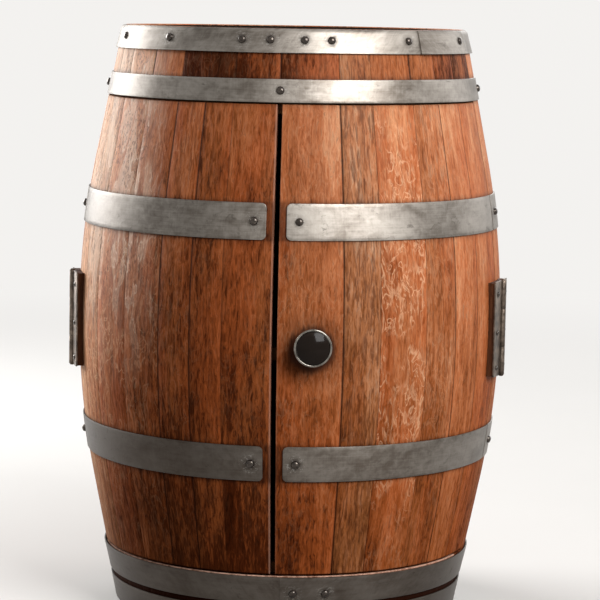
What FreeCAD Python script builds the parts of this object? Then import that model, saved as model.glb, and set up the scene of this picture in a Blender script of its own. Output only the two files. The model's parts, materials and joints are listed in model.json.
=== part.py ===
# Barrel bar cabinet: an oak wine barrel whose front staves are cut into a pair of hinged doors.
# Millimetres, +Z up. The origin is on the barrel's axis at floor level, and the doors meet on -Y.
# An azimuth is an angle in degrees about +Z, from the front (-Y) towards +X.

import FreeCAD, Part
import math
import os

from FreeCAD import Vector

# ------------------------------------------------------------------ driving sizes

# Barrel shell
HEIGHT = 950.0
BILGE_RADIUS = 348.0            # outside, at mid height
END_RADIUS = 279.7              # outside, at both ends
BENT_HEIGHT = 530.0             # the bent middle of a stave; beyond it a stave runs straight
STAVE_THICKNESS = 27.0
CHIME_LENGTH = 40.0             # stave end to the middle of the croze, the groove that holds a head
CROZE_WIDTH = 5.6
CROZE_DEPTH = 5.0
CHIME_BEVEL_DEPTH = 5.0         # bevel inside each stave end
CHIME_BEVEL_HEIGHT = 10.0

# Stave widths at the bilge, in proportion: each row is scaled to fill its door or the back
LEFT_DOOR_WIDTHS = (78.7, 53.5, 57.7, 75.3, 82.6, 57.7, 56.2)    # meeting edge to hinge
RIGHT_DOOR_WIDTHS = (102.4, 61.3, 85.0, 65.6, 64.4, 82.9)        # meeting edge to hinge
BACK_WIDTHS = (
    66.0, 78.0, 58.0, 84.0, 62.0, 71.0,
    90.0, 55.0, 68.0, 76.0, 60.0, 82.0,
    64.0, 73.0, 57.0, 88.0, 61.0, 70.0,
)

# Doors
DOORWAY_RISE = 101.0            # floor to the doorway's lower edge
DOORWAY_DROP = 112.0            # rim to the doorway's upper edge
HINGE_AZIMUTH = 77.0
DOOR_MEETING_GAP = 9.1          # between the two doors
HINGE_KERF = 3.0                # saw cut beside the hinges
DOOR_END_GAP = 3.0              # above and below a door

# Hoops and straps, strip steel
HOOP_THICKNESS = 2.0
TOP_HOOP_HEIGHT = 37.0
TOP_LIP_RADIUS = 14.0           # the top hoop's upper edge is dressed over the rim
TOP_LIP_TURN = 35.0
TOP_HOOP_FLARE = 2.0            # its lower edge stands off the wood by this much more
UPPER_QUARTER_HEIGHT = 35.5
LOWER_QUARTER_HEIGHT = 44.0
LOWER_QUARTER_DROP = 1.5        # the doorway's lower edge to this hoop
LOWER_QUARTER_FLARE = 1.3       # its upper edge stands off the wood by this much more
BOTTOM_HOOP_HEIGHT = 40.5
BOTTOM_HOOP_SPACING = 9.5       # below the lower quarter hoop
TOP_HOOP_SEAM = 46.5            # azimuth where a hoop's outer end stops; it laps over towards +azimuth
LOWER_QUARTER_SEAM = 2.3
REAR_SEAM = 166.5               # of the upper quarter hoop and the bottom hoop
LAP_SWEEP = 27.0                # how far a hoop's ends overlap, degrees
LAP_RAMP_SWEEP = 4.0            # where the outer end climbs onto the inner one
STRAP_HEIGHT = 56.0
UPPER_STRAP_RISE = 183.5        # bilge up to the strap's mid height
LOWER_STRAP_DROP = 190.5        # bilge down to the strap's mid height
STRAP_END_MARGIN = 16.0         # the doors' meeting line to the strap's rounded end
STRAP_CORNER_RADIUS = 8.0
STRAP_HINGE_MARGIN = 1.0        # strap end to the door's hinge edge

# Dome nails, rivets and screws
NAIL_RADIUS = 6.25
NAIL_RISE = 5.0
NAIL_RIM = 1.0
TOP_NAIL_AZIMUTHS = (-65.6, -38.9, -12.5, -3.5, 7.1, 15.4, 42.1, 69.5, 104.0, 140.0, 180.0, 218.0, 256.0)
UPPER_QUARTER_NAIL_AZIMUTHS = (-82.0, 0.0, 88.0, 173.0, 187.0)
LOWER_QUARTER_NAIL_AZIMUTHS = (6.1, 15.9, 120.0, 240.0)
BOTTOM_NAIL_AZIMUTHS = (0.0, 173.0, 187.0)
TOP_NAIL_DROP = 18.0            # below the rim
LOWER_QUARTER_NAIL_DROP = 3.5   # below the hoop's mid height
STRAP_RIVET_MARGIN = 20.0       # strap end to its rivet
BACK_STRAP_NAIL_SWEEP = 4.0     # hinge line to the back strap's end screw, degrees

# Heads, top and shelf
HEAD_THICKNESS = 24.0
HEAD_TONGUE_THICKNESS = 5.0
HEAD_BEVEL_WIDTH = 26.0         # the board thins towards its tongue over this width
HEAD_BOARDS = 6
TOP_RECESS = 1.5                # inset top below the rim
TOP_EDGE_CHAMFER = 2.0
SHELF_DROP = 35.0               # bilge down to the shelf's underside
SHELF_THICKNESS = 20.0
SHELF_FRONT_SETBACK = 28.0      # behind the doors' inner face
CLEAT_DEPTH = 18.0
CLEAT_HEIGHT = 22.0
CLEAT_AZIMUTHS = (110.0, 180.0, 250.0)
CLEAT_SWEEP = 30.0

# Door stops, battens and catches
STOP_RAIL_DEPTH = 18.0
STOP_LAP = 15.0                 # how far a rail covers the door's end
STOP_RAIL_HALF_SWEEP = 85.0
STOP_RAIL_SEGMENTS = 5
BATTEN_DEPTH = 20.0
BATTEN_HEIGHT = 30.0
BATTEN_FOOT_RISE = 36.0         # door's lower end up to the first batten
BATTEN_MIDDLE_RISE = 15.0       # bilge up to the second
BATTEN_HEAD_DROP = 45.0         # door's upper end down to the third
BATTEN_MARGIN = 22.0            # door edge to batten end
CATCH_AZIMUTH = 12.0
CATCH_SWEEP = 8.0
CATCH_HEIGHT = 18.0
CATCH_DEPTH = 13.0
STRIKE_THICKNESS = 1.5

# Butt hinges
HINGE_HEIGHT = 154.0
HINGE_DROP = 2.0                # bilge down to the hinge's mid height
HINGE_STANDOFF = 12.0           # barrel surface to the pin's axis
KNUCKLE_RADIUS = 5.0
PIN_RADIUS = 2.5
PIN_TIP_RADIUS = 3.8
PIN_TIP_HEIGHT = 2.5
DOOR_KNUCKLE_HEIGHT = 61.0
LEAF_WIDTH = 42.0
LEAF_THICKNESS = 2.5
LEAF_SET = 0.75                 # leaf's face below the pin's axis
LEAF_LEAN = 3.5                 # each leaf falls away from the hinge line, degrees
LEAF_CORNER_RADIUS = 4.0
BLOCK_SETBACK = 3.0             # packing block to the hinge line
BLOCK_INSET = 1.5               # packing block short of the leaf's other edges
HINGE_SCREW_RADIUS = 4.2
HINGE_SCREW_RISE = 1.6
HINGE_SCREW_SHARES = (0.135, 0.54, 0.91)    # of the hinge's height, from its top
HINGE_SCREW_OUT = 0.62          # of the leaf's width, from the pin

# Knob
KNOB_AZIMUTH = 9.4
KNOB_DROP = 4.0                 # bilge down to the knob's axis
KNOB_RADIUS = 29.5
KNOB_BEZEL_WIDTH = 4.0
KNOB_STANDOFF = 17.0            # door to the back of the knob's head
KNOB_HEAD_DEPTH = 13.0
KNOB_FACE_RISE = 7.0
KNOB_SEAT_DEPTH = 4.0
KNOB_NECK_RADIUS = 9.0
KNOB_FOOT_RADIUS = 14.0
KNOB_FOOT_HEIGHT = 3.0
BOLT_RADIUS = 3.0
BOLT_GRIP = 10.0                # thread inside the neck
BOLT_HEAD_RADIUS = 5.8          # over the corners
BOLT_HEAD_HEIGHT = 4.0
WASHER_RADIUS = 9.0
WASHER_THICKNESS = 1.6

# Clearances
SEAT_GAP = 0.3                  # between curved pieces that lie against each other
STOP_GAP = 0.5                  # door to stop rail, strike plate to catch
SHELF_GAP = 2.5
HEAD_GAP = 2.0                  # staves to a head, inside the croze's mouth
RAIL_HEAD_GAP = 8.0
STRIKE_MARGIN = 1.0             # strike plate to the stop rail above it
TOP_GAP = 1.0
PIN_CLEARANCE = 0.05
KNUCKLE_GAP = 0.4
BOLT_CLEARANCE = 0.3
NAIL_SEAT_GAP = 0.1

# ------------------------------------------------------------------ derived sizes

ORIGIN = Vector(0, 0, 0)
UP = Vector(0, 0, 1)
FULL_TURN = 360.0
BILGE_Z = HEIGHT / 2


def arc_degrees(length, radius=BILGE_RADIUS):
    """Angle that an arc of this length covers at this radius."""
    return math.degrees(length / radius)


HALF_MEETING = arc_degrees(DOOR_MEETING_GAP / 2)
HALF_KERF = arc_degrees(HINGE_KERF / 2)
DOOR_HINGE_EDGE = HINGE_AZIMUTH - HALF_KERF
FRAME_HINGE_EDGE = HINGE_AZIMUTH + HALF_KERF
DOORWAY_BOTTOM = DOORWAY_RISE
DOORWAY_TOP = HEIGHT - DOORWAY_DROP
DOOR_BOTTOM = DOORWAY_BOTTOM + DOOR_END_GAP
DOOR_TOP = DOORWAY_TOP - DOOR_END_GAP
LOWER_CROZE_Z = CHIME_LENGTH
UPPER_CROZE_Z = HEIGHT - CHIME_LENGTH
TOP_Z = HEIGHT - TOP_RECESS
UPPER_STRAP_Z = BILGE_Z + UPPER_STRAP_RISE
LOWER_STRAP_Z = BILGE_Z - LOWER_STRAP_DROP
SHELF_Z = BILGE_Z - SHELF_DROP
KNOB_Z = BILGE_Z - KNOB_DROP
BATTEN_Z = (
    DOOR_BOTTOM + BATTEN_FOOT_RISE,
    BILGE_Z + BATTEN_MIDDLE_RISE,
    DOOR_TOP - BATTEN_HEAD_DROP - BATTEN_HEIGHT,
)
HINGE_BOTTOM = BILGE_Z - HINGE_DROP - HINGE_HEIGHT / 2
HINGE_AXIS_RADIUS = BILGE_RADIUS + HINGE_STANDOFF


def end_taper():
    """Slope of a stave's straight ends, for an arc and two tangents through bilge and end."""
    drop = BILGE_RADIUS - END_RADIUS
    slope = drop / (HEIGHT / 2)
    for _ in range(30):
        slope = drop / (HEIGHT / 2 - BENT_HEIGHT / 2 / (1 + math.cos(math.atan(slope))))
    return slope


TAPER_ANGLE = math.atan(end_taper())
BEND_RADIUS = BENT_HEIGHT / 2 / math.sin(TAPER_ANGLE)
BEND_CENTRE = BILGE_RADIUS - BEND_RADIUS

# ------------------------------------------------------------------ the stave's bowed line


def bend_reach(offset):
    """Height above and below the bilge where a line at this offset leaves its arc."""
    return (BEND_RADIUS + offset) * math.sin(TAPER_ANGLE)


def wall_radius(z, offset=0.0):
    """Radius at height z of the line that runs at this offset outside the barrel's surface."""
    rise = abs(z - BILGE_Z)
    line = BEND_RADIUS + offset
    reach = bend_reach(offset)
    if rise <= reach:
        return BEND_CENTRE + math.sqrt(line ** 2 - rise ** 2)
    return BEND_CENTRE + line * math.cos(TAPER_ANGLE) - math.tan(TAPER_ANGLE) * (rise - reach)


def wall_lean(z):
    """Angle by which the barrel's surface at height z faces upwards, in radians."""
    rise = z - BILGE_Z
    lean = math.asin(min(1.0, abs(rise) / BEND_RADIUS))
    return math.copysign(min(lean, TAPER_ANGLE), rise)


def wall_edges(offset, z_low, z_high):
    """Arc and line edges of the line at this offset, from z_low up to z_high, in the XZ plane."""
    reach = bend_reach(offset)
    breaks = [z for z in (BILGE_Z - reach, BILGE_Z + reach) if z_low < z < z_high]
    stations = [z_low] + breaks + [z_high]
    edges = []
    for low, high in zip(stations, stations[1:]):
        middle = (low + high) / 2
        start, halfway, end = (Vector(wall_radius(z, offset), 0, z) for z in (low, middle, high))
        if abs(middle - BILGE_Z) < reach:
            edges.append(Part.Arc(start, halfway, end).toShape())
        else:
            edges.append(Part.LineSegment(start, end).toShape())
    return edges


def line(start, end):
    """Straight edge between two (radius, height) points of the XZ plane."""
    return Part.LineSegment(Vector(start[0], 0, start[1]), Vector(end[0], 0, end[1])).toShape()


def band_face(z_low, z_high, inner, outer):
    """Section of a band that follows the barrel between two offsets and two heights."""
    edges = wall_edges(outer, z_low, z_high) + wall_edges(inner, z_low, z_high)
    for z in (z_low, z_high):
        edges.append(line((wall_radius(z, inner), z), (wall_radius(z, outer), z)))
    return Part.Face(Part.Wire(Part.__sortEdges__(edges)))


def section(points):
    """Flat face in the XZ plane through (radius, height) points."""
    corners = [Vector(radius, 0, z) for radius, z in points]
    return Part.Face(Part.makePolygon(corners + corners[:1]))


def sweep(face, start, end):
    """Solid that a section makes when it turns about the barrel's axis between two azimuths."""
    return face.rotated(ORIGIN, UP, start - 90).revolve(ORIGIN, UP, end - start)


def turned(points):
    """Solid of revolution about the barrel's axis."""
    return section(points).revolve(ORIGIN, UP, FULL_TURN)


def place(azimuth, radius, z):
    """Point at this azimuth, radius and height."""
    angle = math.radians(azimuth)
    return Vector(radius * math.sin(angle), -radius * math.cos(angle), z)


def outward(azimuth, lean=0.0):
    """Unit vector that faces away from the axis, leaning upwards by this many radians."""
    flat = place(azimuth, math.cos(lean), 0)
    return Vector(flat.x, flat.y, math.sin(lean))


def moved(shape, placement):
    """Copy of a shape, moved by this placement."""
    copy = shape.copy()
    copy.Placement = placement.multiply(copy.Placement)
    return copy


def stand_on(shape, azimuth, z, offset, tilt=0.0):
    """Move a shape drawn along +Z from the origin so that it stands at this offset from the barrel.

    Its axis faces upwards by tilt radians more than the barrel's surface does.
    """
    lean = wall_lean(z)
    base = place(azimuth, wall_radius(z), z) + outward(azimuth, lean) * offset
    return moved(shape, FreeCAD.Placement(base, FreeCAD.Rotation(UP, outward(azimuth, lean + tilt))))


def mirrored(shape):
    """The left-hand copy of a right-hand shape."""
    return shape.mirror(ORIGIN, Vector(1, 0, 0))


def save(node, solids):
    """Write a node's solids to its STEP file."""
    shape = solids[0] if len(solids) == 1 else Part.makeCompound(solids)
    shape.exportStep(f"parts/{node}.step")


# ------------------------------------------------------------------ dressed rim

LIP_END_ANGLE = TAPER_ANGLE + math.radians(TOP_LIP_TURN)
LIP_CENTRE_Z = HEIGHT - (TOP_LIP_RADIUS + HOOP_THICKNESS) * math.sin(LIP_END_ANGLE)
LIP_START_Z = LIP_CENTRE_Z + TOP_LIP_RADIUS * math.sin(TAPER_ANGLE)
LIP_CENTRE_RADIUS = wall_radius(LIP_START_Z, SEAT_GAP) - TOP_LIP_RADIUS * math.cos(TAPER_ANGLE)


def lip_point(radius, angle):
    """(radius, height) of a point about the centre that the top hoop's lip turns round."""
    return (LIP_CENTRE_RADIUS + radius * math.cos(angle), LIP_CENTRE_Z + radius * math.sin(angle))


def lip_arc(radius, start, end):
    """Arc edge about the lip's centre, between two angles above level."""
    points = [lip_point(radius, angle) for angle in (start, (start + end) / 2, end)]
    return Part.Arc(*(Vector(r, 0, z) for r, z in points)).toShape()


# ------------------------------------------------------------------ staves


def croze_cutter(croze_z):
    """Section of the groove that holds a head's tongue."""
    bottom = wall_radius(croze_z, -STAVE_THICKNESS) + CROZE_DEPTH
    mouth = bottom - STAVE_THICKNESS
    low = croze_z - CROZE_WIDTH / 2
    high = croze_z + CROZE_WIDTH / 2
    return section([(mouth, low), (bottom, low), (bottom, high), (mouth, high)])


def bevel_cutter(end_z, inwards):
    """Section cut off inside a stave's end; inwards is +1 at the bottom end and -1 at the top."""
    foot_z = end_z + inwards * CHIME_BEVEL_HEIGHT
    foot = wall_radius(foot_z, -STAVE_THICKNESS)
    brow = wall_radius(end_z, -STAVE_THICKNESS) + CHIME_BEVEL_DEPTH
    past = 0.2
    tip = (brow + past * (brow - foot), end_z + past * (end_z - foot_z))
    inside = foot - STAVE_THICKNESS
    return section([(foot, foot_z), tip, (inside, tip[1]), (inside, foot_z)])


def rim_cutter():
    """Section cut off the rim's outer edge, so that the top hoop's lip can turn over it."""
    radius = TOP_LIP_RADIUS - SEAT_GAP
    top_angle = math.asin((HEIGHT - LIP_CENTRE_Z) / radius)
    start = lip_point(radius, TAPER_ANGLE)
    end = lip_point(radius, top_angle)
    beyond = start[0] + STAVE_THICKNESS
    above = HEIGHT + STAVE_THICKNESS
    edges = [
        lip_arc(radius, TAPER_ANGLE, top_angle),
        line(end, (end[0], above)),
        line((end[0], above), (beyond, above)),
        line((beyond, above), (beyond, start[1])),
        line((beyond, start[1]), start),
    ]
    return Part.Face(Part.Wire(Part.__sortEdges__(edges)))


def stave_section(z_low, z_high):
    """Section of the staves between two heights, with crozes and bevels where they reach an end."""
    wood = band_face(z_low, z_high, -STAVE_THICKNESS, 0)
    cutters = []
    if z_low == 0:
        cutters += [croze_cutter(LOWER_CROZE_Z), bevel_cutter(0, 1)]
    if z_high == HEIGHT:
        cutters += [croze_cutter(UPPER_CROZE_Z), bevel_cutter(HEIGHT, -1), rim_cutter()]
    return wood.cut(cutters).Faces[0] if cutters else wood


def joints(widths, start, end):
    """Azimuths of the stave joints, ends included, for these relative widths."""
    share = (end - start) / sum(widths)
    return [start + share * sum(widths[:count]) for count in range(len(widths) + 1)]


def staves(wood, azimuths):
    """One solid for each stave between neighbouring azimuths."""
    return [sweep(wood, start, end) for start, end in zip(azimuths, azimuths[1:])]


RIGHT_JOINTS = joints(RIGHT_DOOR_WIDTHS, HALF_MEETING, DOOR_HINGE_EDGE)
LEFT_JOINTS = [-azimuth for azimuth in joints(LEFT_DOOR_WIDTHS, HALF_MEETING, DOOR_HINGE_EDGE)]
FRONT_JOINTS = (
    [-FRAME_HINGE_EDGE] + LEFT_JOINTS[-2:0:-1] + [0.0] + RIGHT_JOINTS[1:-1] + [FRAME_HINGE_EDGE]
)
BACK_JOINTS = joints(BACK_WIDTHS, FRAME_HINGE_EDGE, FULL_TURN - FRAME_HINGE_EDGE)
BACK_GROUPS = ("right_rear_staves", "rear_staves", "left_rear_staves")


def make_fixed_staves():
    """The short staves above and below the doors, and the full staves round the back."""
    save("upper_front_staves", staves(stave_section(DOORWAY_TOP, HEIGHT), FRONT_JOINTS))
    save("lower_front_staves", staves(stave_section(0, DOORWAY_BOTTOM), FRONT_JOINTS))
    whole = stave_section(0, HEIGHT)
    group = len(BACK_WIDTHS) // len(BACK_GROUPS)
    for number, node in enumerate(BACK_GROUPS):
        first = number * group
        save(node, staves(whole, BACK_JOINTS[first:first + group + 1]))


def make_door_staves():
    """Each door's staves, numbered from the meeting edge; the first right one is drilled."""
    wood = stave_section(DOOR_BOTTOM, DOOR_TOP)
    drill = Part.makeCylinder(
        BOLT_RADIUS + BOLT_CLEARANCE, 3 * STAVE_THICKNESS, Vector(0, 0, -2 * STAVE_THICKNESS)
    )
    bolt_hole = stand_on(drill, KNOB_AZIMUTH, KNOB_Z, 0)
    for number, stave in enumerate(staves(wood, RIGHT_JOINTS), 1):
        save(f"right_door_stave_{number}", [stave.cut(bolt_hole) if number == 1 else stave])
    for number, (start, end) in enumerate(zip(LEFT_JOINTS, LEFT_JOINTS[1:]), 1):
        save(f"left_door_stave_{number}", [sweep(wood, end, start)])


# ------------------------------------------------------------------ hoops and straps

HOOP_OUTSIDE = SEAT_GAP + HOOP_THICKNESS
TOP_HOOP_LOW = HEIGHT - TOP_HOOP_HEIGHT
UPPER_QUARTER_HIGH = DOORWAY_TOP + UPPER_QUARTER_HEIGHT
LOWER_QUARTER_HIGH = DOORWAY_BOTTOM - LOWER_QUARTER_DROP
LOWER_QUARTER_LOW = LOWER_QUARTER_HIGH - LOWER_QUARTER_HEIGHT
BOTTOM_HOOP_HIGH = LOWER_QUARTER_LOW - BOTTOM_HOOP_SPACING
BOTTOM_HOOP_LOW = BOTTOM_HOOP_HIGH - BOTTOM_HOOP_HEIGHT


def top_hoop_section(inner, outer):
    """Section of the top hoop between two layers: a band whose upper edge turns in over the rim.

    A layer is a distance outside the hoop's inner face.
    """
    inner_lip = TOP_LIP_RADIUS + inner
    outer_lip = TOP_LIP_RADIUS + outer
    end_angle = math.asin((HEIGHT - LIP_CENTRE_Z) / outer_lip)
    seat = SEAT_GAP + TOP_HOOP_FLARE
    inner_foot = (wall_radius(TOP_HOOP_LOW, seat + inner), TOP_HOOP_LOW)
    outer_foot = (wall_radius(TOP_HOOP_LOW, seat + outer), TOP_HOOP_LOW)
    edges = [
        line(inner_foot, outer_foot),
        line(outer_foot, lip_point(outer_lip, TAPER_ANGLE)),
        lip_arc(outer_lip, TAPER_ANGLE, end_angle),
        line(lip_point(outer_lip, end_angle), lip_point(inner_lip, end_angle)),
        lip_arc(inner_lip, TAPER_ANGLE, end_angle),
        line(lip_point(inner_lip, TAPER_ANGLE), inner_foot),
    ]
    return Part.Face(Part.Wire(Part.__sortEdges__(edges)))


def hoop_section(z_low, z_high, inner, outer, flare=0.0):
    """Section of a hoop between two layers; its upper edge stands off the wood by the flare."""
    foot, brow = SEAT_GAP, SEAT_GAP + flare
    return section([
        (wall_radius(z_low, foot + inner), z_low),
        (wall_radius(z_low, foot + outer), z_low),
        (wall_radius(z_high, brow + outer), z_high),
        (wall_radius(z_high, brow + inner), z_high),
    ])


def lapped_hoop(layers, seam):
    """A whole hoop whose outer end laps over its inner end, from the seam's azimuth onwards.

    layers(inner, outer) gives the hoop's section between two layers.
    """
    middle = HOOP_THICKNESS / 2
    ring = sweep(layers(0, HOOP_THICKNESS), 0, FULL_TURN)
    double = layers(middle, 2 * HOOP_THICKNESS)
    lap = sweep(double, seam, seam + LAP_SWEEP)
    feather = layers(middle, HOOP_THICKNESS - SEAT_GAP)
    ends = [
        face.rotated(ORIGIN, UP, azimuth - 90).OuterWire
        for face, azimuth in ((double, seam + LAP_SWEEP), (feather, seam + LAP_SWEEP + LAP_RAMP_SWEEP))
    ]
    ramp = Part.makeLoft(ends, True, True)
    return ring.fuse([lap, ramp]).removeSplitter().Solids[0]


def make_hoops():
    """The four whole hoops of the fixed shell."""
    def upper_quarter(inner, outer):
        """Section of the upper quarter hoop between two layers."""
        return hoop_section(DOORWAY_TOP, UPPER_QUARTER_HIGH, inner, outer)

    def lower_quarter(inner, outer):
        """Section of the lower quarter hoop between two layers."""
        return hoop_section(LOWER_QUARTER_LOW, LOWER_QUARTER_HIGH, inner, outer, LOWER_QUARTER_FLARE)

    def bottom(inner, outer):
        """Section of the bottom hoop between two layers."""
        return hoop_section(BOTTOM_HOOP_LOW, BOTTOM_HOOP_HIGH, inner, outer)

    save("top_hoop", [lapped_hoop(top_hoop_section, TOP_HOOP_SEAM)])
    save("upper_quarter_hoop", [lapped_hoop(upper_quarter, REAR_SEAM)])
    save("lower_quarter_hoop", [lapped_hoop(lower_quarter, LOWER_QUARTER_SEAM)])
    save("bottom_hoop", [lapped_hoop(bottom, REAR_SEAM)])


def strap(z_middle, start, end):
    """A length of the bilge hoop between two azimuths."""
    low = z_middle - STRAP_HEIGHT / 2
    return sweep(band_face(low, low + STRAP_HEIGHT, SEAT_GAP, HOOP_OUTSIDE), start, end)


def corner_cutter(azimuth, z, side):
    """What a rounded corner takes off a strap's end; side is +1 at its upper edge, -1 at its lower."""
    radius = STRAP_CORNER_RADIUS
    past = radius / 4
    low = -past if side < 0 else -radius
    square = Part.makeBox(2 * STAVE_THICKNESS, radius + past, radius + past)
    square.translate(Vector(-STAVE_THICKNESS, -past, low))
    bar = Part.makeCylinder(
        radius, 2 * STAVE_THICKNESS, Vector(-STAVE_THICKNESS, radius, -side * radius), Vector(1, 0, 0)
    )
    base = place(azimuth, wall_radius(z), z)
    return moved(square.cut(bar), FreeCAD.Placement(base, FreeCAD.Rotation(UP, azimuth - 90)))


def rounded_strap(z_middle, start, end):
    """A strap whose two corners at the start azimuth are rounded."""
    half = STRAP_HEIGHT / 2
    cutters = [corner_cutter(start, z_middle + side * half, side) for side in (-1, 1)]
    return strap(z_middle, start, end).cut(cutters).Solids[0]


STRAP_START = arc_degrees(STRAP_END_MARGIN)
STRAP_MARGIN = arc_degrees(STRAP_HINGE_MARGIN)


def make_straps():
    """The two bilge hoops, each cut into a strap round the back and one on each door."""
    for level, z_middle in (("upper", UPPER_STRAP_Z), ("lower", LOWER_STRAP_Z)):
        back_start = FRAME_HINGE_EDGE + STRAP_MARGIN
        save(f"{level}_rear_strap", [strap(z_middle, back_start, FULL_TURN - back_start)])
        front = rounded_strap(z_middle, STRAP_START, DOOR_HINGE_EDGE - STRAP_MARGIN)
        save(f"right_door_{level}_strap", [front])
        save(f"left_door_{level}_strap", [mirrored(front)])


# ------------------------------------------------------------------ dome nails


def dome(radius, rise, rim):
    """Domed head on a short straight rim, standing along +Z at the origin."""
    crown = rise - rim
    sphere = (radius ** 2 + crown ** 2) / (2 * crown)
    half = math.asin(radius / sphere) / 2
    shoulder = Vector(radius, 0, rim)
    middle = Vector(sphere * math.sin(half), 0, rise - sphere + sphere * math.cos(half))
    tip = Vector(0, 0, rise)
    edges = [
        line((0, 0), (radius, 0)),
        line((radius, 0), (radius, rim)),
        Part.Arc(shoulder, middle, tip).toShape(),
        line((0, rise), (0, 0)),
    ]
    return Part.Face(Part.Wire(Part.__sortEdges__(edges))).revolve(ORIGIN, UP, FULL_TURN)


def nails(azimuths, z, offset=HOOP_OUTSIDE, tilt=0.0, seam=None):
    """Dome nails at these azimuths and this height, on a strip whose face lies at this offset.

    Where a hoop with a seam is double, its nails stand higher by the thickness of its strip.
    """
    head = dome(NAIL_RADIUS, NAIL_RISE, NAIL_RIM)
    heads = []
    for azimuth in azimuths:
        double = seam is not None and (azimuth - seam) % FULL_TURN < LAP_SWEEP
        seat = offset + NAIL_SEAT_GAP + (HOOP_THICKNESS if double else 0)
        heads.append(stand_on(head, azimuth, z, seat, tilt))
    return heads


def flared_nails(azimuths, z, wide_z, narrow_z, flare, seam):
    """Dome nails on a hoop whose edge at wide_z stands off further than its line at narrow_z."""
    slope = flare / (wide_z - narrow_z)
    return nails(azimuths, z, HOOP_OUTSIDE + slope * (z - narrow_z), -math.atan(slope), seam)


def make_nails():
    """The nails of the whole hoops, the screws of the rear straps and the rivets of the doors."""
    lower_quarter_z = (LOWER_QUARTER_LOW + LOWER_QUARTER_HIGH) / 2 - LOWER_QUARTER_NAIL_DROP
    save("hoop_nails", (
        flared_nails(
            TOP_NAIL_AZIMUTHS, HEIGHT - TOP_NAIL_DROP,
            TOP_HOOP_LOW, LIP_START_Z, TOP_HOOP_FLARE, TOP_HOOP_SEAM,
        )
        + nails(UPPER_QUARTER_NAIL_AZIMUTHS, (DOORWAY_TOP + UPPER_QUARTER_HIGH) / 2, seam=REAR_SEAM)
        + flared_nails(
            LOWER_QUARTER_NAIL_AZIMUTHS, lower_quarter_z,
            LOWER_QUARTER_HIGH, LOWER_QUARTER_LOW, LOWER_QUARTER_FLARE, LOWER_QUARTER_SEAM,
        )
        + nails(BOTTOM_NAIL_AZIMUTHS, (BOTTOM_HOOP_LOW + BOTTOM_HOOP_HIGH) / 2, seam=REAR_SEAM)
    ))
    back = FRAME_HINGE_EDGE + BACK_STRAP_NAIL_SWEEP
    save("rear_strap_screws", nails((back, -back), UPPER_STRAP_Z) + nails((back, -back), LOWER_STRAP_Z))
    rivet = STRAP_START + arc_degrees(STRAP_RIVET_MARGIN)
    save("right_door_rivets", nails((rivet,), UPPER_STRAP_Z) + nails((rivet,), LOWER_STRAP_Z))
    save("left_door_rivets", nails((-rivet,), UPPER_STRAP_Z) + nails((-rivet,), LOWER_STRAP_Z))


# ------------------------------------------------------------------ heads, top and shelf

HEAD_HALF = HEAD_THICKNESS / 2


def head_boards(croze_z):
    """A barrel head: a disc with a feathered edge and a tongue, split into its boards."""
    tongue = HEAD_TONGUE_THICKNESS / 2
    tip = wall_radius(croze_z, -STAVE_THICKNESS) + CROZE_DEPTH - SEAT_GAP
    narrow = min(wall_radius(croze_z + side * HEAD_HALF, -STAVE_THICKNESS) for side in (-1, 1))
    root = narrow - HEAD_GAP
    flat = root - HEAD_BEVEL_WIDTH
    disc = turned([
        (0, croze_z - HEAD_HALF), (flat, croze_z - HEAD_HALF), (root, croze_z - tongue),
        (tip, croze_z - tongue), (tip, croze_z + tongue), (root, croze_z + tongue),
        (flat, croze_z + HEAD_HALF), (0, croze_z + HEAD_HALF),
    ])
    width = 2 * tip / HEAD_BOARDS
    boards = []
    for number in range(HEAD_BOARDS):
        corner = Vector(-tip + number * width, -2 * tip, croze_z - HEAD_THICKNESS)
        boards.append(disc.common(Part.makeBox(width, 4 * tip, 2 * HEAD_THICKNESS, corner)).Solids[0])
    return boards


def make_heads():
    """Both heads, and the round top that lies on the upper one, flush with the rim."""
    save("top_head", head_boards(UPPER_CROZE_Z))
    save("bottom_head", head_boards(LOWER_CROZE_Z))
    radius = wall_radius(HEIGHT - CHIME_BEVEL_HEIGHT, -STAVE_THICKNESS) - TOP_GAP
    underside = UPPER_CROZE_Z + HEAD_HALF
    save("inset_top", [turned([
        (0, underside), (radius, underside), (radius, TOP_Z - TOP_EDGE_CHAMFER),
        (radius - TOP_EDGE_CHAMFER, TOP_Z), (0, TOP_Z),
    ])])


def make_shelf():
    """The round shelf at mid height with its front cut straight, on three curved cleats."""
    ends = (SHELF_Z, SHELF_Z + SHELF_THICKNESS)
    radius = min(wall_radius(z, -STAVE_THICKNESS) for z in ends) - SHELF_GAP
    front = -wall_radius(SHELF_Z, -STAVE_THICKNESS) + SHELF_FRONT_SETBACK
    disc = Part.makeCylinder(radius, SHELF_THICKNESS, Vector(0, 0, SHELF_Z))
    keep = Part.makeBox(2 * radius, 2 * radius, SHELF_THICKNESS, Vector(-radius, front, SHELF_Z))
    save("shelf", [disc.common(keep).Solids[0]])
    outside = -STAVE_THICKNESS - SEAT_GAP
    cleat = band_face(SHELF_Z - CLEAT_HEIGHT, SHELF_Z, outside - CLEAT_DEPTH, outside)
    half = CLEAT_SWEEP / 2
    save("shelf_cleats", [sweep(cleat, middle - half, middle + half) for middle in CLEAT_AZIMUTHS])


# ------------------------------------------------------------------ inside the doorway

UPPER_RAIL_LOW = DOOR_TOP - STOP_LAP
UPPER_RAIL_HIGH = UPPER_CROZE_Z - HEAD_HALF - RAIL_HEAD_GAP
LOWER_RAIL_LOW = LOWER_CROZE_Z + HEAD_HALF + RAIL_HEAD_GAP
LOWER_RAIL_HIGH = DOOR_BOTTOM + STOP_LAP


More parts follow.
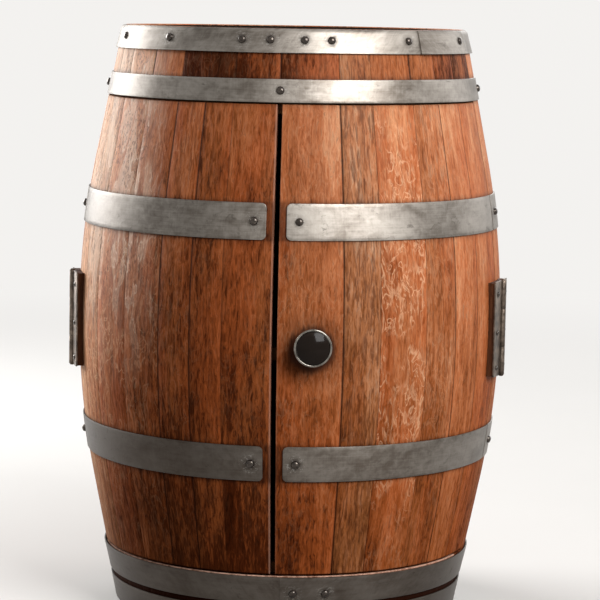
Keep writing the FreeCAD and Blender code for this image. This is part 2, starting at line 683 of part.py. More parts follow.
def make_stop_rails():
    """Curved rails behind the short staves, in segments; the doors close against them."""
    outside = -STAVE_THICKNESS - STOP_GAP
    step = 2 * STOP_RAIL_HALF_SWEEP / STOP_RAIL_SEGMENTS
    ends = [-STOP_RAIL_HALF_SWEEP + number * step for number in range(STOP_RAIL_SEGMENTS + 1)]
    for node, low, high in (
        ("upper_stop_rail", UPPER_RAIL_LOW, UPPER_RAIL_HIGH),
        ("lower_stop_rail", LOWER_RAIL_LOW, LOWER_RAIL_HIGH),
    ):
        save(node, staves(band_face(low, high, outside - STOP_RAIL_DEPTH, outside), ends))


def make_battens():
    """Three curved battens behind each door, which hold its staves together."""
    outside = -STAVE_THICKNESS - SEAT_GAP
    margin = arc_degrees(BATTEN_MARGIN)
    battens = [
        sweep(
            band_face(low, low + BATTEN_HEIGHT, outside - BATTEN_DEPTH, outside),
            HALF_MEETING + margin, DOOR_HINGE_EDGE - margin,
        )
        for low in BATTEN_Z
    ]
    save("right_door_battens", battens)
    save("left_door_battens", [mirrored(batten) for batten in battens])


def make_catches():
    """Magnetic catches under the upper rail, and the doors' strike plates."""
    start = CATCH_AZIMUTH - CATCH_SWEEP / 2
    end = CATCH_AZIMUTH + CATCH_SWEEP / 2
    strike_back = -STAVE_THICKNESS - SEAT_GAP - STRIKE_THICKNESS
    low = UPPER_RAIL_LOW - CATCH_HEIGHT
    magnet_front = strike_back - STOP_GAP
    magnet = sweep(
        band_face(low, UPPER_RAIL_LOW, magnet_front - CATCH_DEPTH, magnet_front), start, end
    )
    save("door_catches", [magnet, mirrored(magnet)])
    strike = sweep(
        band_face(low, UPPER_RAIL_LOW - STRIKE_MARGIN, strike_back, strike_back + STRIKE_THICKNESS),
        start, end,
    )
    save("right_strike_plate", [strike])
    save("left_strike_plate", [mirrored(strike)])


# ------------------------------------------------------------------ butt hinges
# A hinge is drawn about its pin, which stands on +Z from the origin: +X faces away from the
# barrel and +Y towards the fixed staves. The door's side is the mirror image in Y.

DOOR_KNUCKLE_LOW = (HINGE_HEIGHT - DOOR_KNUCKLE_HEIGHT) / 2
DOOR_KNUCKLE_HIGH = DOOR_KNUCKLE_LOW + DOOR_KNUCKLE_HEIGHT
LEAF_BACK = -LEAF_SET - LEAF_THICKNESS


def upright(radius, low, high):
    """Cylinder about the pin's axis between two heights."""
    return Part.makeCylinder(radius, high - low, Vector(0, 0, low))


def leaned(shape):
    """Turn a piece of the fixed side about the pin, so that it falls away from the hinge line."""
    return shape.rotated(ORIGIN, UP, LEAF_LEAN)


def leaf(knuckles, gaps):
    """Leaf on the fixed side: a plate with knuckles at some heights and gaps at the others."""
    plate = Part.makeBox(LEAF_THICKNESS, LEAF_WIDTH, HINGE_HEIGHT, Vector(LEAF_BACK, 0, 0))
    corners = [
        edge for edge in plate.Edges
        if all(abs(vertex.Y - LEAF_WIDTH) < 1e-6 for vertex in edge.Vertexes)
        and abs(edge.Length - LEAF_THICKNESS) < 1e-6
    ]
    shape = leaned(plate.makeFillet(LEAF_CORNER_RADIUS, corners))
    clear = KNUCKLE_RADIUS + KNUCKLE_GAP
    shape = shape.cut([upright(clear, low, high) for low, high in gaps])
    shape = shape.fuse([upright(KNUCKLE_RADIUS, low, high) for low, high in knuckles])
    bore = upright(PIN_RADIUS + PIN_CLEARANCE, -1, HINGE_HEIGHT + 1)
    return shape.cut(bore).removeSplitter().Solids[0]


def packing_block():
    """Block that fills the space between the leaf and the barrel, before it is shaped to it."""
    depth = HINGE_STANDOFF + LEAF_BACK + KNUCKLE_RADIUS
    block = leaned(Part.makeBox(
        depth, LEAF_WIDTH - BLOCK_INSET - BLOCK_SETBACK, HINGE_HEIGHT - 2 * BLOCK_INSET,
        Vector(LEAF_BACK - depth, BLOCK_SETBACK, BLOCK_INSET),
    ))
    return block.cut(upright(KNUCKLE_RADIUS + KNUCKLE_GAP, 0, HINGE_HEIGHT))


def leaf_screws():
    """Heads of a leaf's screws."""
    head = dome(HINGE_SCREW_RADIUS, HINGE_SCREW_RISE, HINGE_SCREW_RISE / 4)
    facing = FreeCAD.Rotation(UP, Vector(1, 0, 0))
    screws = []
    for share in HINGE_SCREW_SHARES:
        seat = Vector(-LEAF_SET, HINGE_SCREW_OUT * LEAF_WIDTH, HINGE_HEIGHT * (1 - share))
        screws.append(leaned(moved(head, FreeCAD.Placement(seat, facing))))
    return screws


def pin():
    """Hinge pin with a low round tip at each end."""
    tip = dome(PIN_TIP_RADIUS, PIN_TIP_HEIGHT, PIN_TIP_HEIGHT / 2)
    lower = tip.mirror(ORIGIN, UP)
    upper = tip.translated(Vector(0, 0, HINGE_HEIGHT))
    return upright(PIN_RADIUS, 0, HINGE_HEIGHT).fuse([lower, upper]).removeSplitter()


def at_hinge(shape):
    """Put a hinge piece in its place on the right side of the barrel."""
    foot = place(HINGE_AZIMUTH, HINGE_AXIS_RADIUS, HINGE_BOTTOM)
    return moved(shape, FreeCAD.Placement(foot, FreeCAD.Rotation(UP, HINGE_AZIMUTH - 90)))


def door_side(shape):
    """The door's side of a hinge piece drawn for the fixed side."""
    return shape.mirror(ORIGIN, Vector(0, 1, 0))


def make_hinges():
    """One butt hinge for each door, on packing blocks shaped to the barrel."""
    wall = sweep(
        band_face(HINGE_BOTTOM, HINGE_BOTTOM + HINGE_HEIGHT, -STAVE_THICKNESS, SEAT_GAP),
        HINGE_AZIMUTH - 90, HINGE_AZIMUTH + 90,
    )
    middle = [(DOOR_KNUCKLE_LOW, DOOR_KNUCKLE_HIGH)]
    outer = [(0, DOOR_KNUCKLE_LOW - KNUCKLE_GAP), (DOOR_KNUCKLE_HIGH + KNUCKLE_GAP, HINGE_HEIGHT)]
    outer_gap = [(-1, DOOR_KNUCKLE_LOW), (DOOR_KNUCKLE_HIGH, HINGE_HEIGHT + 1)]
    middle_gap = [(DOOR_KNUCKLE_LOW - KNUCKLE_GAP, DOOR_KNUCKLE_HIGH + KNUCKLE_GAP)]
    frame_leaf = at_hinge(leaf(outer, middle_gap))
    door_leaf = at_hinge(door_side(leaf(middle, outer_gap)))
    frame_block = at_hinge(packing_block()).cut(wall).Solids[0]
    door_block = at_hinge(door_side(packing_block())).cut(wall).Solids[0]
    frame_screws = [at_hinge(screw) for screw in leaf_screws()]
    door_screws = [at_hinge(door_side(screw)) for screw in leaf_screws()]
    hinge_pin = at_hinge(pin())

    save("right_frame_hinge_leaf", [frame_leaf])
    save("left_frame_hinge_leaf", [mirrored(frame_leaf)])
    save("right_door_hinge_leaf", [door_leaf])
    save("left_door_hinge_leaf", [mirrored(door_leaf)])
    save("hinge_pins", [hinge_pin, mirrored(hinge_pin)])
    save("frame_hinge_blocks", [frame_block, mirrored(frame_block)])
    save("right_door_hinge_block", [door_block])
    save("left_door_hinge_block", [mirrored(door_block)])
    save("frame_hinge_screws", frame_screws + [mirrored(screw) for screw in frame_screws])
    save("right_door_hinge_screws", door_screws)
    save("left_door_hinge_screws", [mirrored(screw) for screw in door_screws])


# ------------------------------------------------------------------ knob
# Drawn along +Z from the door's surface, then stood on the first right-hand stave.

KNOB_BACK = KNOB_STANDOFF
KNOB_FRONT = KNOB_STANDOFF + KNOB_HEAD_DEPTH
KNOB_SEAT = KNOB_FRONT - KNOB_SEAT_DEPTH
KNOB_BEZEL_RADIUS = KNOB_RADIUS - KNOB_BEZEL_WIDTH


def knob_neck():
    """Waisted neck on a round foot, bored for the bolt from below."""
    bore = BOLT_RADIUS + PIN_CLEARANCE
    depth = BOLT_GRIP + 1
    fillet = KNOB_FOOT_RADIUS - KNOB_NECK_RADIUS
    waist = Vector(KNOB_NECK_RADIUS, 0, KNOB_FOOT_HEIGHT + fillet)
    knee = fillet * (1 - math.sqrt(0.5))
    middle = Vector(KNOB_NECK_RADIUS + knee, 0, KNOB_FOOT_HEIGHT + knee)
    foot = Vector(KNOB_FOOT_RADIUS, 0, KNOB_FOOT_HEIGHT)
    edges = [
        line((bore, 0), (KNOB_FOOT_RADIUS, 0)),
        line((KNOB_FOOT_RADIUS, 0), (KNOB_FOOT_RADIUS, KNOB_FOOT_HEIGHT)),
        Part.Arc(foot, middle, waist).toShape(),
        line((KNOB_NECK_RADIUS, waist.z), (KNOB_NECK_RADIUS, KNOB_BACK)),
        line((KNOB_NECK_RADIUS, KNOB_BACK), (0, KNOB_BACK)),
        line((0, KNOB_BACK), (0, depth)),
        line((0, depth), (bore, depth)),
        line((bore, depth), (bore, 0)),
    ]
    return Part.Face(Part.Wire(Part.__sortEdges__(edges))).revolve(ORIGIN, UP, FULL_TURN)


def knob_head():
    """Round head with a bowl-shaped back and a bezel round the seat of its face."""
    shoulder_z = (KNOB_BACK + KNOB_FRONT) / 2
    collar = KNOB_NECK_RADIUS + KNOB_BEZEL_WIDTH
    bowl = (collar + KNOB_RADIUS + KNOB_BEZEL_WIDTH) / 2
    swell = Vector(bowl, 0, KNOB_BACK + KNOB_HEAD_DEPTH / 6)
    rim = KNOB_BEZEL_WIDTH / 4
    edges = [
        line((0, KNOB_BACK), (collar, KNOB_BACK)),
        Part.Arc(Vector(collar, 0, KNOB_BACK), swell, Vector(KNOB_RADIUS, 0, shoulder_z)).toShape(),
        line((KNOB_RADIUS, shoulder_z), (KNOB_RADIUS, KNOB_FRONT - rim)),
        line((KNOB_RADIUS, KNOB_FRONT - rim), (KNOB_RADIUS - rim, KNOB_FRONT)),
        line((KNOB_RADIUS - rim, KNOB_FRONT), (KNOB_BEZEL_RADIUS, KNOB_FRONT)),
        line((KNOB_BEZEL_RADIUS, KNOB_FRONT), (KNOB_BEZEL_RADIUS, KNOB_SEAT)),
        line((KNOB_BEZEL_RADIUS, KNOB_SEAT), (0, KNOB_SEAT)),
        line((0, KNOB_SEAT), (0, KNOB_BACK)),
    ]
    return Part.Face(Part.Wire(Part.__sortEdges__(edges))).revolve(ORIGIN, UP, FULL_TURN)


def knob_face():
    """Domed face that sits in the bezel."""
    cap = dome(KNOB_BEZEL_RADIUS - SEAT_GAP, KNOB_SEAT_DEPTH + KNOB_FACE_RISE, KNOB_SEAT_DEPTH)
    return cap.translated(Vector(0, 0, KNOB_SEAT))


def knob_bolt():
    """Hexagon bolt from inside the door into the neck, on a washer."""
    washer_top = -STAVE_THICKNESS - 2 * SEAT_GAP
    washer_low = washer_top - WASHER_THICKNESS
    head_low = washer_low - BOLT_HEAD_HEIGHT
    reach = BOLT_GRIP - head_low
    turns = [math.radians(60 * corner) for corner in range(7)]
    corners = [
        Vector(BOLT_HEAD_RADIUS * math.cos(turn), BOLT_HEAD_RADIUS * math.sin(turn), head_low)
        for turn in turns
    ]
    hexagon = Part.Face(Part.makePolygon(corners)).extrude(Vector(0, 0, BOLT_HEAD_HEIGHT))
    bolt = hexagon.fuse(Part.makeCylinder(BOLT_RADIUS, reach, Vector(0, 0, head_low))).removeSplitter()
    washer = Part.makeCylinder(WASHER_RADIUS, WASHER_THICKNESS, Vector(0, 0, washer_low)).cut(
        Part.makeCylinder(BOLT_RADIUS + BOLT_CLEARANCE, WASHER_THICKNESS, Vector(0, 0, washer_low))
    )
    return [bolt.Solids[0], washer.Solids[0]]


def make_knob():
    """The pull knob of the right-hand door."""
    for node, shapes in (
        ("knob_neck", [knob_neck()]),
        ("knob_head", [knob_head()]),
        ("knob_face", [knob_face()]),
        ("knob_bolt", knob_bolt()),
    ):
        save(node, [stand_on(shape, KNOB_AZIMUTH, KNOB_Z, SEAT_GAP) for shape in shapes])


# ------------------------------------------------------------------ build

os.makedirs("parts", exist_ok=True)
make_fixed_staves()
make_door_staves()
make_hoops()
make_straps()
make_nails()
make_heads()
make_shelf()
make_stop_rails()
make_battens()
make_catches()
make_hinges()
make_knob()
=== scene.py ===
"""Barrel bar cabinet: an oak wine barrel whose front staves open as a pair of doors.

Metres, +Z up. The barrel's axis is the Z axis, its foot stands at zero height and its doors meet
on -Y. An azimuth is an angle about +Z in radians, from the front towards +X. An offset is a
distance outside the barrel's bowed surface.
"""

import json
import logging
import random
from dataclasses import dataclass, field, fields, replace
from enum import Enum
from functools import cached_property, reduce
from math import asin, atan, atan2, copysign, cos, hypot, pi, radians, remainder, sin, sqrt, tan

import bmesh
import bpy
from mathutils import Matrix, Vector, noise
from mathutils.kdtree import KDTree


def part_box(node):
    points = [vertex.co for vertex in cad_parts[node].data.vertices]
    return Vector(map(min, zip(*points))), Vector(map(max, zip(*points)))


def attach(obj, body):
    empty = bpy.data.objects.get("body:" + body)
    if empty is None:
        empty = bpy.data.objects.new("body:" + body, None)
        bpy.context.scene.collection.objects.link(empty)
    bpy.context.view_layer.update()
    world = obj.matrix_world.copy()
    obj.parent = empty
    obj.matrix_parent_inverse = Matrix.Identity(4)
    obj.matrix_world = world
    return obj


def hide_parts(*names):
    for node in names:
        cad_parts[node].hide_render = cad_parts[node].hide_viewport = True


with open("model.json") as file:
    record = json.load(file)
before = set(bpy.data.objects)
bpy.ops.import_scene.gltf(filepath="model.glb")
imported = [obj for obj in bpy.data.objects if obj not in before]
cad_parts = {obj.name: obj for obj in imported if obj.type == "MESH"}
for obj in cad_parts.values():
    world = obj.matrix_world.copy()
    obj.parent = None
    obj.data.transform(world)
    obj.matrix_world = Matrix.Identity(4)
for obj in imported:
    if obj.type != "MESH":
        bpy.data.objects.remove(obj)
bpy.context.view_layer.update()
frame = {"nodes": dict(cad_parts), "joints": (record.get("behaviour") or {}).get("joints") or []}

LOGGER = logging.getLogger("barrel_bar_cabinet")
MM = 0.001
FULL_TURN = 2 * pi
SMOOTH_ANGLE = radians(38)

Colour = tuple[float, float, float]
Seat = tuple[Vector, Vector]
Pair = tuple[float, float]
Profile = list[Pair]
Socket = bpy.types.NodeSocket
Mesh = bpy.types.Mesh
Material = bpy.types.Material


class Body(str, Enum):
    """The bodies that pieces ride on."""

    CABINET = "cabinet"
    LEFT_DOOR = "left_door"
    RIGHT_DOOR = "right_door"


class Slot(str, Enum):
    """The record's material slots."""

    STAVE_OAK = "stave_oak"
    PLAIN_OAK = "plain_oak"
    DARK_TOP = "dark_top"
    HOOPS = "galvanised_hoops"
    NAILS = "dome_nails"
    HINGES = "hinge_steel"
    KNOB = "knob_steel"
    KNOB_FACE = "knob_face"


class Grain(Enum):
    """Where a finish takes its direction from: the piece's own attribute, or an axis of its object.

    An axis is the order in which the object's three are read, so that the one along the grain is second.
    """

    ATTRIBUTE = ()
    ALONG_X = (1, 0, 2)
    ALONG_Y = (0, 1, 2)
    ALONG_Z = (0, 2, 1)


# ---- node trees


class Graph:
    """A node tree under construction, with short ways to add nodes and arithmetic."""

    def __init__(self, tree: bpy.types.NodeTree) -> None:
        """Start in an empty tree."""
        self.tree = tree

    def add(self, kind: str, inputs: dict | None = None, **settings: object) -> bpy.types.Node:
        """Add a node.

        Args:
            kind: The node's type name.
            inputs: Values or output sockets for its inputs, by name or number.
            **settings: Properties of the node itself, set first.

        Returns:
            The node.
        """
        node = self.tree.nodes.new(kind)
        for name, value in settings.items():
            setattr(node, name, value)
        self.feed(node, inputs or {})
        return node

    def feed(self, node: bpy.types.Node, inputs: dict) -> None:
        """Link outputs to a node's inputs, or set the inputs' own values.

        Args:
            node: The node.
            inputs: Values or output sockets, by the input's name or number.
        """
        for name, value in inputs.items():
            if isinstance(value, Socket):
                self.tree.links.new(value, node.inputs[name])
            else:
                node.inputs[name].default_value = value

    def out(self, kind: str, inputs: dict | None = None, **settings: object) -> Socket:
        """Add a node, and give its first output."""
        return self.add(kind, inputs, **settings).outputs[0]

    def math(self, operation: str, first: object, second: object = 0.0) -> Socket:
        """Result of one step of arithmetic."""
        return self.out("ShaderNodeMath", {0: first, 1: second}, operation=operation)

    def plus(self, first: object, second: object) -> Socket:
        """One number plus another."""
        return self.math("ADD", first, second)

    def less(self, first: object, second: object) -> Socket:
        """One number less another."""
        return self.math("SUBTRACT", first, second)

    def most(self, first: object, second: object) -> Socket:
        """The larger of two numbers."""
        return self.math("MAXIMUM", first, second)

    def product(self, *values: object) -> Socket:
        """All numbers multiplied together."""
        return reduce(lambda total, value: self.math("MULTIPLY", total, value), values)

    def weigh(self, parts: list[tuple[object, float]], middle: float = 0.5) -> Socket:
        """Sum of numbers about their middle.

        Args:
            parts: Numbers from 0 to 1 and how much each one counts.
            middle: Result where all are 0.5.

        Returns:
            The sum.
        """
        total = middle - 0.5 * sum(weight for _, weight in parts)
        for value, weight in parts:
            total = self.plus(total, self.product(value, weight))
        return total

    def remap(
        self, value: object, low: float, high: float, to_low: float = 0.0, to_high: float = 1.0
    ) -> Socket:
        """Smooth step from one pair of values to another as the number goes from low to high."""
        inputs = {"Value": value, "From Min": low, "From Max": high, "To Min": to_low, "To Max": to_high}
        return self.out("ShaderNodeMapRange", inputs, interpolation_type="SMOOTHSTEP")

    def contour(self, value: object, level: float, width: float) -> Socket:
        """1 where a number is near a level, falling to 0 at this distance from it."""
        return self.remap(self.math("ABSOLUTE", self.less(value, level)), 0.0, width, 1.0, 0.0)

    def mix(self, share: object, first: object, second: object, blend: str = "MIX") -> Socket:
        """Blend of two colours.

        Args:
            share: How much of the second.
            first: Colour or socket.
            second: Colour or socket.
            blend: Blend mode.

        Returns:
            The blended colour.
        """
        pair = [value if isinstance(value, Socket) else (*value, 1.0) for value in (first, second)]
        inputs = {0: share, 6: pair[0], 7: pair[1]}
        return self.add("ShaderNodeMix", inputs, data_type="RGBA", blend_type=blend).outputs[2]

    def tinted(self, colour: Socket, tint: Colour) -> Socket:
        """Colour multiplied by another."""
        return self.mix(1.0, colour, tint, "MULTIPLY")

    def noise(
        self, place: object, scale: tuple[float, float, float], detail: float = 3.0, roughness: float = 0.55,
        distortion: float = 0.0,
    ) -> Socket:
        """Noise from 0 to 1 with this many lumps a metre along each axis."""
        scaled = self.out("ShaderNodeVectorMath", {0: place, 1: scale}, operation="MULTIPLY")
        return self.out("ShaderNodeTexNoise", {
            "Vector": scaled, "Scale": 1.0, "Detail": detail, "Roughness": roughness,
            "Distortion": distortion,
        })

    def ramp(self, value: object, stops: list[tuple[float, Colour]]) -> Socket:
        """Colour read from a ramp.

        Args:
            value: Position along the ramp.
            stops: Positions and their colours, in order.

        Returns:
            The colour.
        """
        node = self.add("ShaderNodeValToRGB", {"Fac": value})
        elements = node.color_ramp.elements
        while len(elements) < len(stops):
            elements.new(0.5)
        for element, (position, colour) in zip(elements, stops):
            element.position = position
            element.color = (*colour, 1.0)
        return node.outputs["Color"]

    def attribute(self, name: str, output: str = "Fac") -> Socket:
        """Value of one of the mesh's own attributes."""
        node = self.add("ShaderNodeAttribute", attribute_type="GEOMETRY", attribute_name=name)
        return node.outputs[output]

    def spot(self) -> tuple[Socket, ...]:
        """Position in the object in metres: a number for each axis."""
        place = self.add("ShaderNodeTexCoord").outputs["Object"]
        return tuple(self.add("ShaderNodeSeparateXYZ", {0: place}).outputs)

    def height_share(self) -> Socket:
        """Height as a share of the barrel's own."""
        return self.math("DIVIDE", self.spot()[2], LINE.height)

    def place(self, grain: Grain) -> Socket:
        """Position in metres whose second axis runs along the grain.

        Args:
            grain: Where the direction comes from.

        Returns:
            The position.
        """
        if grain is Grain.ATTRIBUTE:
            return self.attribute("grain", "Vector")
        parts = self.spot()
        return self.out("ShaderNodeCombineXYZ", {n: parts[axis] for n, axis in enumerate(grain.value)})

    def bump(self, height: object, strength: float, depth: float, under: object = None) -> Socket:
        """Surface relief.

        Args:
            height: Relief from 0 to 1.
            strength: Share of the relief that shows.
            depth: Its depth in metres.
            under: Relief that this one lies on.

        Returns:
            The bent normal.
        """
        inputs = {"Strength": strength, "Distance": depth, "Height": height}
        if under is not None:
            inputs["Normal"] = under
        return self.out("ShaderNodeBump", inputs)

    def hand_over(self, geometry: Socket, finish: Socket) -> None:
        """End a Geometry Nodes tree with real, finished geometry.

        Args:
            geometry: What the tree has made.
            finish: Its material.
        """
        real = self.out("GeometryNodeRealizeInstances", {"Geometry": geometry})
        dressed = self.out("GeometryNodeSetMaterial", {"Geometry": real, "Material": finish})
        self.add("NodeGroupOutput", {"Geometry": dressed})


def new_material(name: str) -> tuple[Material, Graph, bpy.types.Node]:
    """Empty material with its shader.

    Args:
        name: The finish's name.

    Returns:
        The material, its graph and its shader node.
    """
    material = bpy.data.materials.new(name)
    material.use_nodes = True
    graph = Graph(material.node_tree)
    shader = next(node for node in material.node_tree.nodes if node.type == "BSDF_PRINCIPLED")
    return material, graph, shader


# ---- finishes


@dataclass(frozen=True)
class OakFinish:
    """Oiled oak: growth bands, streaks, dark fibres, ray flecks and dirt along the joints.

    On staves, attributes give each one's tone, its figure (flecks), its coarseness (dark fibres), the
    distance from its sides, and the strength of the joint there: dirt above zero, a painted highlight along
    the edge below it. On staves the wood is also painted darker towards the foot, most on the lower left,
    as painted shade. The shade and dirt bands are heights and how dark the wood is there: dirt and painted
    shade along the hoops, painted shade above the bottom hoop and at the rim. The pale ridge is the height
    of a pale line, and the knob is the middle of the knob's painted shadow and of the dirt round it.
    """

    name: str
    grain: Grain
    deep: Colour = (0.016, 0.004, 0.001)
    dark: Colour = (0.070, 0.017, 0.005)
    middle: Colour = (0.285, 0.076, 0.019)
    warm: Colour = (0.470, 0.152, 0.056)
    pale: Colour = (0.700, 0.350, 0.185)
    joint: Colour = (0.020, 0.006, 0.003)
    pale_edge: Colour = (0.620, 0.370, 0.270)
    fleck: Colour = (0.860, 0.510, 0.300)
    scar: Colour = (0.900, 0.680, 0.520)
    ruddy_tint: Colour = (1.0, 0.86, 0.76)
    dull_tint: Colour = (0.88, 1.25, 1.60)
    roughness: float = 0.58
    sheen: float = 0.10
    height_shade: float = 0.44
    lower_left_shade: float = 0.60
    shade_and_dirt_bands: tuple[Pair, ...] = ()
    pale_ridge: float | None = None
    knob: Pair | None = None

    def build(self) -> Material:
        """Make the material.

        Returns:
            The material.
        """
        material, graph, shader = new_material(self.name)
        place = graph.place(self.grain)
        staved = self.grain is Grain.ATTRIBUTE

        def trait(name: str, usual: float) -> object:
            """A stave's own attribute, or the usual value on other wood."""
            return graph.attribute(name) if staved else usual

        bands = graph.noise(place, (52, 2.2, 52), 3.0, 0.55, 0.4)
        streaks = graph.noise(place, (120, 12, 120), 5.0, 0.66, 0.6)
        clouds = graph.noise(place, (14, 6.0, 14), 4.0, 0.60)
        fibres = graph.noise(place, (230, 46, 230), 3.0, 0.64, 0.9)
        strokes = graph.noise(place, (270, 30, 270), 2.0, 0.60, 0.8)
        warmth = graph.noise(place, (17, 3.0, 17), 2.0)

        parts = [
            (trait("tone", 0.5), 1.0), (bands, 0.50), (streaks, 0.72), (clouds, 0.58), (fibres, 1.05),
        ]
        # Painted shade and light: on staves the wood is darker towards the foot and paler towards the top.
        if staved:
            parts.append((graph.height_share(), self.height_shade))
        shade = graph.weigh(parts)
        # A ramp reaches from 0 to 1, so the levels, which start below 0, are squeezed into its upper part.
        stops = [
            (-0.30, self.deep), (0.08, self.dark), (0.38, self.middle), (0.62, self.warm), (0.98, self.pale),
        ]
        squeeze = 0.75
        scaled = graph.plus(graph.product(shade, squeeze), 1 - squeeze)
        colour = graph.ramp(scaled, [(squeeze * level + 1 - squeeze, tint) for level, tint in stops])
        ruddy = graph.tinted(colour, self.ruddy_tint)
        colour = graph.mix(graph.remap(warmth, 0.42, 0.62), colour, ruddy)

        coarse = trait("coarse", 0.3)
        dull = graph.tinted(colour, self.dull_tint)
        colour = graph.mix(graph.remap(coarse, 0.45, 1.0, 0.0, 0.60), colour, dull)
        dark_share = graph.product(graph.remap(strokes, 0.42, 0.66), coarse, 0.72)
        pore_share = graph.product(graph.remap(fibres, 0.54, 0.70), 0.50)
        colour = graph.mix(graph.most(dark_share, pore_share), colour, self.dark)
        flecks = self.flecks(graph, place, trait("figure", 0.25))
        sheen = self.sheen
        if staved:
            flecks = graph.product(flecks, graph.remap(graph.height_share(), 0.05, 0.50, 0.15, 1.0))
            sheen = graph.remap(graph.height_share(), 0.10, 0.90, 0.15 * self.sheen, 1.3 * self.sheen)
            sheen = graph.product(sheen, graph.remap(shade, 0.0, 0.45, 0.20, 1.0))
        colour = graph.mix(flecks, colour, self.fleck)
        if staved:
            colour = self.bleached(graph, place, colour)
            colour = self.marked_and_shaded(graph, colour, streaks, strokes)
        relief = graph.less(graph.product(streaks, 0.9), graph.product(pore_share, 0.8))
        graph.feed(shader, {
            "Base Color": colour, "Specular IOR Level": sheen,
            "Roughness": graph.weigh([(streaks, 0.30), (clouds, 0.25)], self.roughness),
            "Normal": graph.bump(relief, 0.65, 1.4 * MM),
        })
        return material

    @staticmethod
    def outer(graph: Graph) -> Socket:
        """1 on a stave's outer face and 0 on its inner face."""
        return graph.remap(graph.attribute("depth"), -6 * MM, -3 * MM)

    @staticmethod
    def flecks(graph: Graph, place: Socket, figure: object) -> Socket:
        """Pale ray flecks: short bars across the grain and curled threads between them.

        Args:
            graph: The graph to work in.
            place: Position along the grain.
            figure: How strong the flecks are.

        Returns:
            Share of the flecks' colour.
        """
        rays = graph.noise(place, (110, 38, 70), 3.0, 0.62, 1.6)
        curls = graph.noise(place, (42, 17, 42), 2.0, 0.50, 1.8)
        patches = graph.noise(place, (22, 12, 22), 2.0)
        bars = graph.product(graph.remap(rays, 0.50, 0.66), 0.50)
        threads = graph.product(graph.contour(curls, 0.53, 0.040), 0.68)
        return graph.product(graph.most(bars, threads), graph.remap(patches, 0.36, 0.52), figure)

    def bleached(self, graph: Graph, place: Socket, colour: Socket) -> Socket:
        """Wood bleached on the front's upper left, in patches with torn edges, and pitted between them.

        Args:
            graph: The graph to work in.
            place: Position along the grain.
            colour: The clean wood.

        Returns:
            The colour.
        """
        x, y, _ = graph.spot()
        share = graph.product(
            graph.remap(x, -0.17, -0.23), graph.remap(y, 0.02, -0.06),
            graph.remap(graph.height_share(), 0.38, 0.70), self.outer(graph),
        )
        patches = graph.noise(place, (34, 10, 34), 3.0, 0.55, 0.7)
        pits = graph.noise(place, (230, 120, 230), 2.0, 0.60, 0.6)
        rough = graph.noise(place, (26, 11, 26), 2.0)
        faded = graph.product(graph.remap(patches, 0.42, 0.60, 0.12, 0.50), share)
        pitted = graph.product(graph.remap(pits, 0.50, 0.60), graph.remap(rough, 0.46, 0.54), share, 0.55)
        edges = graph.product(graph.contour(patches, 0.52, 0.020), graph.remap(pits, 0.40, 0.55, 0.3, 1.0))
        colour = graph.mix(faded, colour, self.scar)
        colour = graph.mix(pitted, colour, self.dark)
        return graph.mix(graph.product(edges, share, 0.70), colour, self.scar)

    def marked_and_shaded(self, graph: Graph, colour: Socket, streaks: Socket, strokes: Socket) -> Socket:
        """Wood with its joints, painted edge highlights, a pale ridge, dirt and painted shade.

        Args:
            graph: The graph to work in.
            colour: The clean wood.
            streaks: Noise that frays the dirt.
            strokes: Finer noise that breaks it up.

        Returns:
            The colour.
        """
        edge, seam = graph.attribute("edge"), graph.attribute("seam")
        reach = graph.plus(0.5 * MM, graph.product(streaks, graph.most(seam, 0.12), 4 * MM))
        dirt = graph.less(1.0, graph.math("DIVIDE", edge, reach))
        dirt.node.use_clamp = True
        # Painted highlight: a pale line along the edge of a joint whose seam is below zero, as at the doors'
        # meeting edges.
        worn = graph.product(
            graph.remap(edge, 1.2 * MM, 2.6 * MM, 1.0, 0.0), graph.remap(seam, -1.0, 0.0, 0.30, 0.0)
        )
        colour = graph.mix(worn, colour, self.pale_edge)
        colour = graph.mix(graph.product(dirt, graph.remap(seam, 0.1, 0.75, 0.15, 1.0)), colour, self.joint)

        height, outer = graph.height_share(), self.outer(graph)
        x, y, z = graph.spot()
        # Dirt and painted shade along the hoops, and painted shade above the bottom hoop and at the rim, on
        # the outer face only.
        if self.shade_and_dirt_bands:
            stain_and_shade = graph.ramp(height, [(level / LINE.height, (depth,) * 3) for level, depth in self.shade_and_dirt_bands])
            broken = graph.product(stain_and_shade, graph.remap(strokes, 0.25, 0.65, 0.55, 1.0))
            depth = graph.most(broken, graph.remap(stain_and_shade, 0.80, 1.0))
            colour = graph.mix(graph.product(depth, outer), colour, self.joint)
        # A pale line along the top of the lower front staves, frayed by the streaks.
        if self.pale_ridge:
            frayed = graph.remap(streaks, 0.35, 0.60, 0.3, 1.0)
            ridge = graph.product(graph.contour(z, self.pale_ridge, 3 * MM), frayed)
            front = graph.math("LESS_THAN", y, -0.1)
            colour = graph.mix(graph.product(ridge, front, outer), colour, self.pale_edge)
        # Painted shade: the outer face darkens towards the foot on the left of the front.
        low, left = graph.remap(height, 0.06, 0.52, 1.0, 0.0), graph.remap(x, -0.26, -0.06, 1.0, 0.0)
        colour = graph.mix(graph.product(low, left, self.lower_left_shade, outer), colour, self.deep)
        # Painted shadow of the knob: a dark ring close round it, centred low and to the left, with a wider,
        # fainter patch of dirt round that.
        if self.knob:
            across, up = graph.less(x, self.knob[0]), graph.less(z, self.knob[1])
            away = graph.math("SQRT", graph.plus(graph.product(across, across), graph.product(up, up)))
            away = graph.plus(away, graph.product(graph.less(0.5, streaks), 24 * MM))
            knob_shadow = graph.remap(away, 30 * MM, 48 * MM, 0.92, 0.0)
            hand_dirt = graph.remap(away, 30 * MM, 70 * MM, 0.40, 0.0)
            front = graph.math("LESS_THAN", y, 0.0)
            colour = graph.mix(graph.product(graph.most(knob_shadow, hand_dirt), front, outer), colour, self.joint)
        return colour


